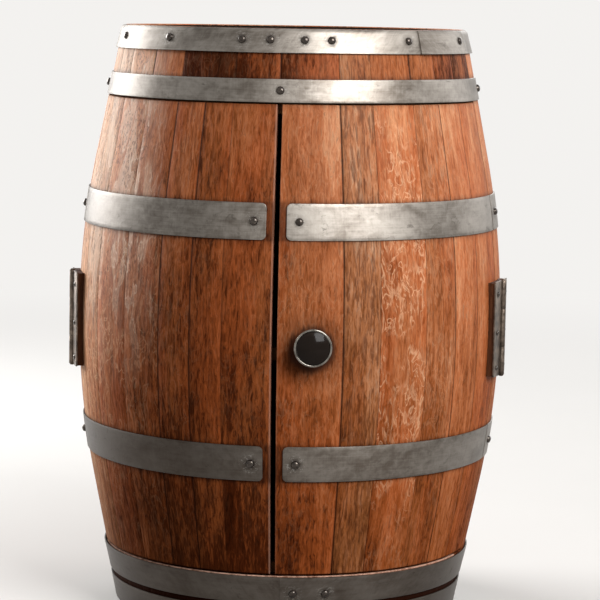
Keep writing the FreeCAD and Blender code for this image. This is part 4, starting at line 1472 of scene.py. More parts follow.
    def row(
        self, node: str, blank: list[Ring], joints: list[float], looks: list[StaveLook], dice: random.Random
    ) -> None:
        """Make a node's fixed staves side by side.

        Args:
            node: The CAD node.
            blank: Cuts of one stave.
            joints: Azimuths of the joints, ends included.
            looks: The staves' wood.
            dice: Source of the wood's variation.
        """
        seams = [dice.choice(self.usual_seams) for _ in joints]
        pairs = zip(zip(joints, joints[1:]), looks, zip(seams, seams[1:]))
        places = [self.place(ends, look, sides, self.sunk, dice) for ends, look, sides in pairs]
        mesh = self.bender.bend(blank, places, self.finishes.stave_oak)
        finish_piece(f"{node}_oak", mesh, Body.CABINET, [node])

    def door(
        self, side: str, body: Body, spans: list[Span], looks: tuple[StaveLook, ...], dice: random.Random
    ) -> None:
        """Make a door's staves, from the meeting edge to the hinge.

        Args:
            side: Word for the door in its pieces' names.
            body: The door's body.
            spans: Where its staves lie.
            looks: Their wood.
            dice: Source of the wood's variation.
        """
        blank = self.rings(spans[0].low, spans[0].high)
        seams = [look.seam for look in looks] + [self.hinge_seam]
        for number, (extent, look) in enumerate(zip(spans, looks)):
            sides = (seams[number], seams[number + 1])
            if body is Body.LEFT_DOOR:
                sides = sides[::-1]
            place = self.place((extent.start, extent.end), look, sides, self.door_sunk, dice)
            mesh = self.bender.bend(blank, [place], self.finishes.stave_oak)
            name = f"{side}_stave_{number + 1}"
            finish_piece(name, mesh, body, [f"{side}_door_stave_{number + 1}"])

    def build(self) -> None:
        """Make every stave."""
        dice = random.Random(self.seed)
        left = [span(f"left_door_stave_{number + 1}") for number in range(len(self.left_looks))]
        right = [span(f"right_door_stave_{number + 1}") for number in range(len(self.right_looks))]
        self.door("left", Body.LEFT_DOOR, left, self.left_looks, dice)
        self.door("right", Body.RIGHT_DOOR, right, self.right_looks, dice)

        above, below = span("upper_front_staves"), span("lower_front_staves")
        front = [above.start] + [extent.start for extent in reversed(left)][1:] + [0.0]
        front += [extent.end for extent in right[:-1]] + [above.end]
        door_looks = self.left_looks[::-1] + self.right_looks
        upper_looks = [
            replace(look, tone=tone, slope=slope, figure=self.above_figure)
            for look, (tone, slope) in zip(door_looks, self.above_shades)
        ]
        self.row("upper_front_staves", self.rings(above.low, above.high), front, upper_looks, dice)
        self.row("lower_front_staves", self.rings(below.low, below.high), front, door_looks, dice)

        whole = span("rear_staves")
        blank = self.rings(whole.low, whole.high)
        widths = self.back_widths
        share = (FULL_TURN - above.end + above.start) / sum(widths)
        joints = [above.end + share * sum(widths[:number]) for number in range(len(widths) + 1)]
        nodes = ("right_rear_staves", "rear_staves", "left_rear_staves")
        group = len(widths) // len(nodes)
        for number, node in enumerate(nodes):
            looks = [
                StaveLook(dice.uniform(0.40, 0.58), dice.uniform(0.0, 0.6), dice.uniform(0.2, 0.8), 0.0)
                for _ in range(group)
            ]
            self.row(node, blank, joints[number * group:(number + 1) * group + 1], looks, dice)


@dataclass(frozen=True)
class TopLip:
    """The top hoop's upper edge, dressed over the staves' rounded rim."""

    radius: float = 14 * MM
    turn: float = radians(35)
    thickness: float = 2 * MM
    gap: float = 0.3 * MM
    flare: float = 2 * MM
    edge: float = 0.5 * MM
    edge_turn: float = 0.04

    @property
    def end_angle(self) -> float:
        """Angle at which the lip ends."""
        return LINE.taper + self.turn

    @property
    def centre_z(self) -> float:
        """Height of the lip's centre."""
        return LINE.height - (self.radius + self.thickness) * sin(self.end_angle)

    @property
    def start_z(self) -> float:
        """Height at which the lip begins to turn."""
        return self.centre_z + self.radius * sin(LINE.taper)

    @property
    def centre_radius(self) -> float:
        """Distance of the lip's centre from the barrel's axis."""
        return LINE.radius(self.start_z, self.gap) - self.radius * cos(LINE.taper)

    def sweep(self, radius: float, start: float, end: float, count: int) -> Profile:
        """Offsets and heights along an arc about the lip's centre."""
        points = arc(self.centre_radius, self.centre_z, radius, start, end, count)
        return [(LINE.offset(distance, z), z) for distance, z in points]

    def rim_round(self) -> Profile:
        """The rounded outer rim of the staves under the lip.

        Returns:
            Offsets and heights.
        """
        radius = self.radius - self.gap
        top = asin((LINE.height - self.centre_z) / radius)
        return self.sweep(radius, LINE.taper, top, 8)[1:]

    def outline(self, low: float, swell: float) -> Profile:
        """Section of the top hoop.

        Args:
            low: Height of its lower edge.
            swell: How far it stands off its seat here.

        Returns:
            Offsets and heights, up the outside and down the inside.
        """
        inner, outer = self.radius, self.radius + self.thickness
        edge, end = self.edge, self.end_angle
        turned = end - self.edge_turn
        gap, face = self.gap, self.gap + self.thickness
        profile = [(gap, low), (face - edge, low), (face, low + edge)]
        profile += [(face, z) for z in rows(low + edge, self.start_z, 5)[1:-1]]
        profile += self.sweep(outer, LINE.taper, turned, 8)
        profile += [self.sweep(radius, end, end, 1)[0] for radius in (outer - edge, inner + edge)]
        profile += self.sweep(inner, LINE.taper, turned, 5)[::-1]
        slope = self.flare / (self.start_z - low)
        return [(offset + swell + slope * max(0.0, self.start_z - z), z) for offset, z in profile]


LIP = TopLip()


# ---- hoops and straps


@dataclass(frozen=True)
class Strip:
    """A strip of sheet steel or wood that follows the barrel, with softened edges."""

    low: float
    high: float
    inner: float
    outer: float
    edge: float = 0.6 * MM
    flare: float = 0.0
    face_rows: int = 10
    back_rows: int = 4

    def outline(
        self, swell: float = 0.0, sway: float = 0.0, pinch: float = 0.0, thin: float = 0.0
    ) -> Profile:
        """Section of the strip.

        Args:
            swell: How far the strip stands off here.
            sway: How far both edges wander up here.
            pinch: How much its upper and lower edges draw in here.
            thin: How much lower its outer face lies here.

        Returns:
            Offsets and heights, up the outside and down the inside.
        """
        low, high = self.low + pinch + sway, self.high - pinch + sway
        outer = self.outer - thin
        soft = min(self.edge, (high - low) / 4)
        corner = soft * (1 - sqrt(0.5))
        face = [(outer, z) for z in rows(low + soft, high - soft, self.face_rows)]
        profile = [(self.inner, low), (outer - soft, low), (outer - corner, low + corner)] + face
        profile += [(outer - corner, high - corner), (outer - soft, high), (self.inner, high)]
        profile += [(self.inner, z) for z in rows(high, low, self.back_rows)[1:-1]]
        height = self.high - self.low
        return [(offset + swell + self.flare * (z - self.low) / height, z) for offset, z in profile]

    def end_rings(self, share: float, steps: list[float], radius: float = 0.0) -> list[Ring]:
        """Cuts near one end, where the outer edge and the corners are rounded.

        Args:
            share: 0 at the start, 1 at the end.
            steps: Distances from the end.
            radius: Radius of the corners.

        Returns:
            The cuts, in order along the strip.
        """
        rings = [
            Ring(share, step * (1 - 2 * share), self.outline(
                pinch=quarter_round(step, radius), thin=quarter_round(step, self.edge)
            ))
            for step in sorted(steps)
        ]
        return rings[::-1] if share else rings


def strip_of(extent: Span, **settings: float) -> Strip:
    """Strip that fills a CAD solid's span."""
    return Strip(extent.low, extent.high, extent.inner, extent.outer, **settings)


@dataclass(frozen=True)
class Lap:
    """The riveted joint of a hoop, where its outer end lies over its inner end."""

    seam: float
    width: float = radians(27)
    ramp: float = radians(4)
    rise: float = 2.1 * MM

    @property
    def length(self) -> float:
        """Angle that the whole strip covers."""
        return FULL_TURN + self.width

    def lift(self, past: float) -> float:
        """How far the strip stands off at this angle from its outer end."""
        share = max(0.0, min(1.0, (past - self.width) / self.ramp))
        return self.rise * (1 - share * share * (3 - 2 * share))


@dataclass
class Hoops:
    """The whole hoops, and the bilge hoops cut into straps."""

    bender: Bender
    finishes: Finishes
    ring_step: float = radians(0.9)
    sway: float = 0.5 * MM
    sway_scale: float = 2.5
    dent: float = 0.35 * MM
    dent_scale: float = 4.0
    strap_sway: float = 0.15 * MM
    strap_sway_scale: float = 3.0
    strap_dent_scale: float = 5.0
    corner: float = 8 * MM
    square_corner: float = 1.2 * MM
    end_margin: float = 11.2 * MM
    thickness: float = 2 * MM
    head_reach: float = 4 * MM
    grime_reach: float = 17 * MM
    grime_seed: int = 3
    hoop_seed: float = 3.7
    rear_seed: float = 20.3
    door_seed: float = 30.3
    level_seed: float = 4.1
    laps: dict[str, Lap] = field(default_factory=lambda: {
        "top_hoop": Lap(radians(46.5)),
        "upper_quarter_hoop": Lap(radians(166.5)),
        "lower_quarter_hoop": Lap(radians(2.3)),
        "bottom_hoop": Lap(radians(166.5)),
    })

    @cached_property
    def nails(self) -> KDTree:
        """Middles of every nail, rivet and screw on the hoops.

        Returns:
            A tree to search them by place.
        """
        nodes = ("hoop_nails", "rear_strap_screws", "left_door_rivets", "right_door_rivets")
        middles = [centre(points) for node in nodes for points in solids(node)]
        tree = KDTree(len(middles))
        for number, middle in enumerate(middles):
            tree.insert(middle, number)
        tree.balance()
        return tree

    def bent(self, rings: list[Ring], start: float, end: float, seed: float) -> Mesh:
        """Strip bent round the barrel, with the dirt round its nails stored on its points.

        Args:
            rings: The strip's cuts.
            start: Azimuth where it starts.
            end: Azimuth where it ends.
            seed: Choice of its mottling.

        Returns:
            Its mesh.
        """
        mesh = self.bender.bend(rings, [Place(start, end, seed=seed)], self.finishes.hoops)
        dice = random.Random(self.grime_seed)
        strength = [dice.uniform(0.6, 1.0) for _ in range(64)]
        values = []
        for vertex in mesh.vertices:
            _, number, distance = self.nails.find(vertex.co)
            near = max(0.0, 1 - max(0.0, distance - self.head_reach) / self.grime_reach)
            values.append(strength[number % len(strength)] * near)
        set_values(mesh, "grime", values)
        return mesh

    @staticmethod
    def wander(angle: float, seed: float, scale: float) -> float:
        """Smooth wander from -1 to 1 round the barrel."""
        return noise.noise(Vector((scale * sin(angle), scale * cos(angle), seed)))

    def dented(self, angle: float, seed: float, scale: float) -> float:
        """How far dents lift a strip off its seat here."""
        return self.dent * (0.5 + 0.5 * self.wander(angle, seed, scale))

    def hoop(self, name: str, seed: float) -> Mesh:
        """One whole hoop, riveted where its ends overlap.

        Args:
            name: The CAD node that it stands for.
            seed: Choice of its dents.

        Returns:
            Its mesh.
        """
        lap = self.laps[name]
        strip = self.seated(name)
        rings = []
        for share in rows(0, 1, round(lap.length / self.ring_step)):
            past = share * lap.length
            swell = lap.lift(past) + self.dented(lap.seam + past, seed, self.dent_scale)
            sway = self.sway * self.wander(lap.seam + past, seed + 9, self.sway_scale)
            if name == "top_hoop":
                outline = LIP.outline(strip.low + sway, swell)
            else:
                outline = strip.outline(swell, sway)
            rings.append(Ring(share, 0.0, outline))
        return self.bent(rings, lap.seam, lap.seam + lap.length, seed)

    def seated(self, name: str) -> Strip:
        """Strip for a whole hoop, with the flare that its CAD solid has.

        Args:
            name: The CAD node.

        Returns:
            The strip.
        """
        points = [vertex.co for vertex in frame["nodes"][name].data.vertices]
        low, high = min(p.z for p in points), max(p.z for p in points)
        near = 0.1 * MM
        foot = min(LINE.offset_of(p) for p in points if p.z < low + near)
        top = min(LINE.offset_of(p) for p in points if p.z > high - near)
        return Strip(low, high, foot, foot + self.thickness, flare=top - foot)

    def strap(self, node: str, rounded: tuple[bool, bool], seed: float) -> Mesh:
        """A length of bilge hoop.

        Args:
            node: The CAD node that it stands for.
            rounded: Whether its corners at the start and at the end are rounded.
            seed: Choice of its dents.

        Returns:
            Its mesh.
        """
        extent = span(node)
        strip = strip_of(extent)
        turn = extent.end - extent.start
        ends = []
        for share, is_round in enumerate(rounded):
            radius = self.corner if is_round else self.square_corner
            steps = [0.0, 0.25 * MM, strip.edge] + [radius * part for part in (0.15, 0.28, 0.45, 0.7, 1.0)]
            ends.append(strip.end_rings(float(share), steps, radius))
        margin = self.end_margin / LINE.bilge_radius / turn
        between = []
        for share in rows(margin, 1 - margin, max(4, round(turn / self.ring_step))):
            angle = extent.start + share * turn
            swell = self.dented(angle, seed, self.strap_dent_scale) * sin(pi * share) ** 0.5
            sway = self.strap_sway * self.wander(angle, seed + 5, self.strap_sway_scale)
            between.append(Ring(share, 0.0, strip.outline(swell, sway)))
        return self.bent(ends[0] + between + ends[1], extent.start, extent.end, seed)

    def build(self) -> None:
        """Make all hoops and straps."""
        for number, name in enumerate(self.laps):
            mesh = self.hoop(name, self.hoop_seed * number)
            finish_piece(f"{name}_strip", mesh, Body.CABINET, [name])
        for number, level in enumerate(("upper", "lower")):
            node = f"{level}_rear_strap"
            mesh = self.strap(node, (False, False), self.rear_seed + number)
            finish_piece(f"{node}_strip", mesh, Body.CABINET, [node])
            for side, body in (("left", Body.LEFT_DOOR), ("right", Body.RIGHT_DOOR)):
                node = f"{side}_door_{level}_strap"
                seed = self.door_seed + self.level_seed * number + len(side)
                mesh = self.strap(node, (side == "right", side == "left"), seed)
                finish_piece(f"{node}_strip", mesh, body, [node])


# ---- nails, rivets and screws


class Fastener:
    """Geometry Nodes tree that sets a fastener's head on each point of its mesh."""

    spread = 0.05

    def __init__(self) -> None:
        """Build the tree."""
        graph, source = new_tree("fasteners", [
            ("Head", "Object"), ("Head radius", "Float"), ("Head rise", "Float"),
            ("Spread", "Float"), ("Seed", "Int"), ("Finish", "Material"),
        ])
        head = graph.add("GeometryNodeObjectInfo", {"Object": source["Head"]}).outputs["Geometry"]

        def chance(low: object, high: object) -> Socket:
            """A number of its own for each head."""
            inputs = {2: low, 3: high, "Seed": source["Seed"]}
            return graph.add("FunctionNodeRandomValue", inputs, data_type="FLOAT").outputs[1]

        facing = graph.out("GeometryNodeInputNamedAttribute", {"Name": "facing"}, data_type="FLOAT_VECTOR")
        upright = graph.out("FunctionNodeAlignRotationToVector", {"Vector": facing}, axis="Z")
        angle = chance(0.0, FULL_TURN)
        turn = graph.out("FunctionNodeAxisAngleToRotation", {"Axis": (0, 0, 1), "Angle": angle})
        turned = graph.out("FunctionNodeRotateRotation", {0: upright, 1: turn}, rotation_space="LOCAL")
        size = chance(graph.less(1.0, source["Spread"]), graph.plus(1.0, source["Spread"]))
        width = graph.product(source["Head radius"], size)
        scale = graph.out("ShaderNodeCombineXYZ", {0: width, 1: width, 2: source["Head rise"]})
        copies = graph.out("GeometryNodeInstanceOnPoints", {
            "Points": source["Geometry"], "Instance": head, "Rotation": turned, "Scale": scale,
        })
        graph.hand_over(copies, source["Finish"])
        self.tree = graph.tree

    def set_heads(
        self, head: bpy.types.Object, seats: list[Seat], radius: float, rise: float, seed: int,
        finish: Material,
    ) -> Mesh:
        """Set heads on their seats.

        Args:
            head: Head of unit radius and rise, standing on its origin.
            seats: Seat and outward direction of each one.
            radius: Radius of a head.
            rise: Its height.
            seed: Choice of turns and sizes.
            finish: Its material.

        Returns:
            All heads as one mesh.
        """
        spots = bpy.data.meshes.new("seats")
        spots.from_pydata([seat for seat, _ in seats], [], [])
        set_values(spots, "facing", [facing for _, facing in seats], "FLOAT_VECTOR")
        mesh = evaluated(spots, self.tree, {
            "Head": head, "Head radius": radius, "Head rise": rise, "Spread": self.spread, "Seed": seed,
            "Finish": finish,
        })
        mesh.attributes.remove(mesh.attributes["facing"])
        return mesh


def lathe(profile: Profile, segments: int) -> Mesh:
    """Closed round mesh about Z.

    Args:
        profile: Radii and heights from one pole to the other, both at radius 0.
        segments: Number of sides.

    Returns:
        The mesh.
    """
    points = [Vector((0, 0, profile[0][1]))]
    for radius, z in profile[1:-1]:
        points += [Vector((x, y, z)) for x, y in arc(0.0, 0.0, radius, 0.0, FULL_TURN, segments)[:-1]]
    points.append(Vector((0, 0, profile[-1][1])))
    faces = []
    last = len(profile) - 3
    for n in range(segments):
        after = (n + 1) % segments
        faces.append([0, 1 + after, 1 + n])
        for row in range(last):
            base = 1 + row * segments
            faces.append([base + n, base + after, base + segments + after, base + segments + n])
        base = 1 + last * segments
        faces.append([base + n, base + after, len(points) - 1])
    return mesh_from(points, faces)


def seat_on(points: list[Vector], facing: Vector, rise: float = 0.0) -> Seat:
    """Seat of a head at the foot of its CAD solid.

    Args:
        points: The solid's corners.
        facing: Direction in which it stands.
        rise: How far out from the foot the seat lies.

    Returns:
        The seat and the direction.
    """
    middle = centre(points)
    foot = min(facing.dot(point) for point in points)
    return middle + facing * (foot - facing.dot(middle) + rise), facing


class Heads:
    """Unit heads for the fasteners: a dome on a skirt, and a dome with a cross recess."""

    dome_sides = 28
    cross_sides = 32
    skirt = 0.2
    slot_half = 0.10
    slot_reach = 0.45
    slot_depth = 0.55

    def __init__(self) -> None:
        """Make the heads."""
        self.dome = put("dome_head", lathe(self.dome_profile(), self.dome_sides))
        self.cross = put("cross_head", self.cross_recessed())

    def dome_profile(self) -> Profile:
        """Low dome on a short skirt.

        Returns:
            Radii and heights, from the foot's middle to the crown.
        """
        skirt = [(0.0, 0.0), (1.03, 0.0), (1.0, self.skirt / 2), (0.97, self.skirt)]
        crown = arc(0.0, 0.0, 1.0, 0.30, pi / 2, 7)[:-1]
        dome = [(radius, self.skirt + (1 - self.skirt) * rise) for radius, rise in crown]
        return skirt + dome + [(0.0, 1.0)]

    def cross_recessed(self) -> Mesh:
        """Dome with a cross recess pressed into its crown.

        Returns:
            Its mesh.
        """
        side = [(0.0, 0.0), (1.0, 0.0), (1.0, 0.25), (0.93, 0.5), (0.8, 0.72), (0.62, 0.88)]
        crown = [(radius, 1.0 - 0.25 * radius ** 2) for radius in (0.5, 0.42, 0.34, 0.24, 0.16)]
        mesh = lathe(side + crown + [(0.0, 1.0)], self.cross_sides)
        for vertex in mesh.vertices:
            x, y = abs(vertex.co.x), abs(vertex.co.y)
            if vertex.co.z > 0.9 and min(x, y) < self.slot_half and max(x, y) < self.slot_reach:
                vertex.co.z -= self.slot_depth
        return mesh

    def clear(self) -> None:
        """Take the heads out of the scene again."""
        for item in (self.dome, self.cross):
            bpy.data.objects.remove(item)


@dataclass
class Nails:
    """Dome nails of the hoops, rivets of the straps and screws of the rear straps."""

    fastener: Fastener
    heads: Heads
    hoops: Hoops
    finishes: Finishes
    radius: float = 6.25 * MM
    rise: float = 5 * MM
    sink: float = 0.15 * MM

    def seat(self, points: list[Vector]) -> Seat:
        """Seat of a head on its strip.

        Args:
            points: Corners of its CAD solid.

        Returns:
            The seat and the direction in which the head stands.
        """
        middle = centre(points)
        facing = LINE.facing(atan2(middle.x, -middle.y), middle.z)
        return seat_on(points, facing, self.hoops.dent / 2 - self.sink)

    def build(self) -> None:
        """Set every nail."""
        for seed, (node, body) in enumerate((
            ("hoop_nails", Body.CABINET), ("rear_strap_screws", Body.CABINET),
            ("left_door_rivets", Body.LEFT_DOOR), ("right_door_rivets", Body.RIGHT_DOOR),
        ), 1):
            seats = [self.seat(points) for points in solids(node)]
            mesh = self.fastener.set_heads(
                self.heads.dome, seats, self.radius, self.rise, seed, self.finishes.nails
            )
            finish_piece(f"{node}_domes", mesh, body, [node])


# ---- hinges


@dataclass
class Hinges:
    """The two butt hinges: leaves with knuckles, pins and cross-head screws."""

    fastener: Fastener
    heads: Heads
    finishes: Finishes
    height: float = 154 * MM
    knuckle_radius: float = 5 * MM
    pin_radius: float = 2.5 * MM
    tip_radius: float = 3.8 * MM
    tip_rise: float = 2.5 * MM
    middle_height: float = 61 * MM
    knuckle_gap: float = 0.4 * MM
    leaf_width: float = 42 * MM
    leaf_thickness: float = 2.5 * MM
    leaf_set: float = 0.75 * MM
    lean: float = radians(3.5)
    corner: float = 4 * MM
    screw_radius: float = 4.2 * MM
    screw_rise: float = 2.4 * MM
    softness: float = 0.45 * MM
    knuckle_sides: int = 40
    pin_sides: int = 32

    def at_hinge(self, side: int, door: bool) -> Matrix:
        """Placement of a hinge piece drawn for the fixed side about an upright pin.

        Args:
            side: +1 on the right of the barrel, -1 on the left.
            door: Whether the piece is the door's.

        Returns:
            The placement, which mirrors where it has to.
        """
        joint = next(j for j in frame["joints"] if (j["child"] == Body.RIGHT_DOOR.value) == (side > 0))
        pin = Vector(joint["pos_m"])
        azimuth = atan2(abs(pin.x), -pin.y)
        foot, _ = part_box("right_door_hinge_leaf")
        place = Matrix.Translation(Vector((abs(pin.x), pin.y, foot.z)))
        place = Matrix.Diagonal((side, 1, 1, 1)) @ place @ Matrix.Rotation(azimuth - pi / 2, 4, "Z")
        if door:
            place = place @ Matrix.Diagonal((1, -1, 1, 1))
        return place

    def knuckles(self, door: bool) -> list[Pair]:
        """Heights of a leaf's knuckles.

        Args:
            door: Whether the leaf is the door's.

        Returns:
            Foot and top of each one.
        """
        low = (self.height - self.middle_height) / 2
        high = low + self.middle_height
        if door:
            return [(low, high)]
        return [(0.0, low - self.knuckle_gap), (high + self.knuckle_gap, self.height)]

    def leaf(self, door: bool) -> Mesh:
        """A leaf: its notched plate with rounded corners, and its rolled knuckles.

        Args:
            door: Whether the leaf is the door's.

        Returns:
            Its mesh.
        """
        kept = self.knuckles(door)
        clear = self.knuckle_radius + self.knuckle_gap
        edge = []
        for low, high in kept:
            edge += [(clear, low), (0.0, low), (0.0, high), (clear, high)]
        edge = [(clear, 0.0)] + edge + [(clear, self.height)] if door else edge[1:-1]
        corner = self.corner
        inset_y, inset_z = self.leaf_width - corner, self.height - corner
        edge += arc(inset_y, inset_z, corner, pi / 2, 0.0, 6)
        edge += arc(inset_y, corner, corner, 0.0, -pi / 2, 6)
        back = -self.leaf_set - self.leaf_thickness
        count = len(edge)
        points = [Vector((x, y, z)) for x in (back, -self.leaf_set) for y, z in edge]
        faces = [[n, (n + 1) % count, count + (n + 1) % count, count + n] for n in range(count)]
        faces += [list(range(count)), list(range(count, 2 * count))]
        plate = bevelled(mesh_from(points, faces), self.softness)
        plate.transform(Matrix.Rotation(self.lean, 4, "Z"))
        return joined([plate] + [self.barrel(low, high) for low, high in kept])

    def barrel(self, low: float, high: float) -> Mesh:
        """One knuckle, with a fine groove where its end meets the next.

        Args:
            low: Height of its foot.
            high: Height of its top.

        Returns:
            Its mesh.
        """
        radius, soft = self.knuckle_radius, self.softness
        ease = soft * 0.3
        foot = [(0.0, low), (radius - soft, low), (radius - ease, low + ease), (radius, low + soft)]
        top = [(radius, high - soft), (radius - ease, high - ease), (radius - soft, high), (0.0, high)]
        return lathe(foot + top, self.knuckle_sides)

    def pin(self) -> Mesh:
        """The pin, with a round tip at each end.

        Returns:
            Its mesh.
        """
        tip, rise = self.tip_radius, self.tip_rise
        cap = [(tip * x, rise / 2 * (1 + z)) for x, z in arc(0.0, 0.0, 1.0, 0.0, pi / 2, 5)[:-1]]
        foot = [(0.0, -rise)] + [(r, -z) for r, z in reversed(cap)] + [(tip, 0.0), (self.pin_radius, 0.0)]
        head = [(self.pin_radius, self.height), (tip, self.height)] + [(r, self.height + z) for r, z in cap]
        return lathe(foot + head + [(0.0, self.height + rise)], self.pin_sides)

    def build(self) -> None:
        """Make both hinges."""
        pins = []
        for side, word, body in ((1, "right", Body.RIGHT_DOOR), (-1, "left", Body.LEFT_DOOR)):
            for door, owner in ((True, "door"), (False, "frame")):
                mesh = placed(self.leaf(door), self.at_hinge(side, door))
                node = f"{word}_{owner}_hinge_leaf"
                rider = body if door else Body.CABINET
                finish_piece(f"{node}_steel", mesh, rider, [node], self.finishes.hinges)
            pins.append(placed(self.pin(), self.at_hinge(side, False)))
        steel = self.finishes.hinges
        finish_piece("hinge_pins_steel", joined(pins), Body.CABINET, ["hinge_pins"], steel)
        for seed, (node, body) in enumerate((
            ("left_door_hinge_screws", Body.LEFT_DOOR), ("right_door_hinge_screws", Body.RIGHT_DOOR),
            ("frame_hinge_screws", Body.CABINET),
        ), 7):
            seats = [self.screw_seat(points, "door" in node) for points in solids(node)]
            mesh = self.fastener.set_heads(
                self.heads.cross, seats, self.screw_radius, self.screw_rise, seed, self.finishes.nails
            )
            finish_piece(f"{node}_heads", mesh, body, [node])

    def screw_seat(self, points: list[Vector], door: bool) -> Seat:
        """Seat of a screw on its leaf.

        Args:
            points: Corners of its CAD solid.
            door: Whether the leaf is the door's.

        Returns:
            The seat and the direction in which the screw stands.
        """
        side = 1 if centre(points).x > 0 else -1
        turn = self.at_hinge(side, door).to_3x3() @ Matrix.Rotation(self.lean, 3, "Z")
        return seat_on(points, (turn @ Vector((1, 0, 0))).normalized())


# ---- knob


@dataclass
class Knob:
    """The pull knob: waisted neck, bowl-backed head with a polished bezel, and a domed black face."""

    finishes: Finishes
    radius: float = 29.5 * MM
    bezel: float = 4 * MM
    standoff: float = 17 * MM
    depth: float = 13 * MM
    face_rise: float = 7 * MM
    seat_depth: float = 4 * MM
    neck: float = 9 * MM
    foot: float = 14 * MM
    foot_height: float = 3 * MM
    foot_edge: float = 0.5 * MM
    gap: float = 0.3 * MM
    segments: int = 96

    def placement(self) -> Matrix:
        """Where the knob stands on its stave, drawn along +Z from the wood.

        Returns:
            The placement.
        """
        low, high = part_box("knob_face")
        middle = (low + high) / 2
        azimuth = atan2(middle.x, -middle.y)
        facing = LINE.facing(azimuth, middle.z)
        radius = LINE.radius(middle.z)
        wood = Vector((radius * sin(azimuth), -radius * cos(azimuth), middle.z))
        turn = facing.to_track_quat("Z", "Y").to_matrix().to_4x4()
        return Matrix.Translation(wood + facing * self.gap) @ turn

    def neck_profile(self) -> Profile:
        """Foot, hollow curve and neck.

        Returns:
            Radii and heights.
        """
        foot, hollow, soft = self.foot, self.foot - self.neck, self.foot_edge
        profile = [(0.0, 0.0), (foot - soft, 0.0), (foot, soft), (foot, self.foot_height - soft)]
        profile += arc(foot, self.foot_height + hollow, hollow, -pi / 2, -pi, 8)
        return profile + [(self.neck, self.standoff), (0.0, self.standoff)]

    def head_profile(self) -> Profile:
        """Bowl-shaped back, side and a bezel as round as a bead.

        Returns:
            Radii and heights.
        """
        back, front = self.standoff, self.standoff + self.depth
        collar = self.neck + self.bezel
        shoulder = (back + front) / 2
        swell = [
            (collar + (self.radius - collar) * x, shoulder + (shoulder - back) * z)
            for x, z in arc(0.0, 0.0, 1.0, -pi / 2, 0.0, 12)
        ]
        seat, half = self.radius - self.bezel, self.bezel / 2
        bead = arc(self.radius - half, front - half, half, 0.0, pi, 14)
        inner = [(seat, front - self.seat_depth), (0.0, front - self.seat_depth)]
        return [(0.0, back)] + swell + bead + inner

    def face_profile(self) -> Profile:
        """Domed face in the bezel.

        Returns:
            Radii and heights.
        """
        seat = self.standoff + self.depth - self.seat_depth
        radius = self.radius - self.bezel - self.gap
        top = seat + self.seat_depth + self.face_rise
        sphere = (radius ** 2 + self.face_rise ** 2) / (2 * self.face_rise)
        half = asin(radius / sphere)
        dome = arc(0.0, top - sphere, sphere, pi / 2 - half, pi / 2, 14)
        return [(0.0, seat), (radius, seat)] + dome[:-1] + [(0.0, top)]

    def build(self) -> None:
        """Make the knob."""
        place = self.placement()
        for node, profile, slot, finish in (
            ("knob_neck", self.neck_profile(), Slot.KNOB, self.finishes.knob),
            ("knob_head", self.head_profile(), Slot.KNOB, self.finishes.knob),
            ("knob_face", self.face_profile(), Slot.KNOB_FACE, self.finishes.knob_face),
        ):
            mesh = placed(lathe(profile, self.segments), place)
            finish_piece(f"{node}_turned", mesh, Body.RIGHT_DOOR, [node], finish)


# ---- top and inside


@dataclass
class Inside:
    """The inset top, and the wood and fittings inside the doors."""

    bender: Bender
    finishes: Finishes
    edge: float = 1.8 * MM
    row_step: float = radians(4)
    top_sides: int = 128
    seed_step: float = 5.0

    def inset_top(self) -> None:
        """Make the dark round top."""
        low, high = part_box("inset_top")
        radius = (high.x - low.x) / 2
        edge = arc(radius - self.edge, high.z - self.edge, self.edge, 0.0, pi / 2, 6)
        flat = [(radius * share, high.z) for share in (0.8, 0.5, 0.2)]
        profile = [(0.0, low.z), (radius, low.z)] + edge + flat + [(0.0, high.z)]
        mesh = lathe(profile, self.top_sides)
        finish_piece("inset_top_dark", mesh, Body.CABINET, ["inset_top"], self.finishes.top)

    def curved_wood(self, node: str, body: Body, seed: float) -> None:
        """Make a node's battens, cleats or rails with softened edges.

        Args:
            node: The CAD node.
            body: The body that it rides on.
            seed: Choice of its wood.
        """
        meshes = []
        for number, extent in enumerate(measure(points) for points in solids(node)):
            strip = strip_of(extent, edge=self.edge)
            steps = [step * self.edge for step in (0.0, 0.3, 1.0)]
            count = max(3, round((extent.end - extent.start) / self.row_step))
            between = [Ring(share, 0.0, strip.outline()) for share in rows(0.0, 1.0, count)[1:-1]]
            rings = strip.end_rings(0.0, steps) + between + strip.end_rings(1.0, steps)
            place = Place(extent.start, extent.end, figure=0.1, seed=seed + number)
            meshes.append(self.bender.bend(rings, [place], self.finishes.inner_oak, 1.0))
        mesh = joined(meshes)
        finish_piece(f"{node}_oak", mesh, body, [node], self.finishes.inner_oak)

    def carried(self) -> None:
        """Give the CAD nodes that stay in view their finishes."""
        chosen = {
            "top_head": self.finishes.board_oak, "bottom_head": self.finishes.board_oak,
            "shelf": self.finishes.shelf_oak, "door_catches": self.finishes.plastic,
            "left_strike_plate": self.finishes.zinc, "right_strike_plate": self.finishes.zinc,
            "knob_bolt": self.finishes.zinc, "frame_hinge_blocks": self.finishes.block_oak,
            "left_door_hinge_block": self.finishes.block_oak,
            "right_door_hinge_block": self.finishes.block_oak,
        }
        for name, material in chosen.items():
            dress(frame["nodes"][name].data, material)
            LOGGER.info("%s: dressed", name)

    def build(self) -> None:
        """Make and dress the inside."""
        self.inset_top()
        for seed, (node, body) in enumerate((
            ("left_door_battens", Body.LEFT_DOOR), ("right_door_battens", Body.RIGHT_DOOR),
            ("shelf_cleats", Body.CABINET), ("upper_stop_rail", Body.CABINET),
            ("lower_stop_rail", Body.CABINET),
        )):
            self.curved_wood(node, body, self.seed_step * seed)
        self.carried()


# ---- studio


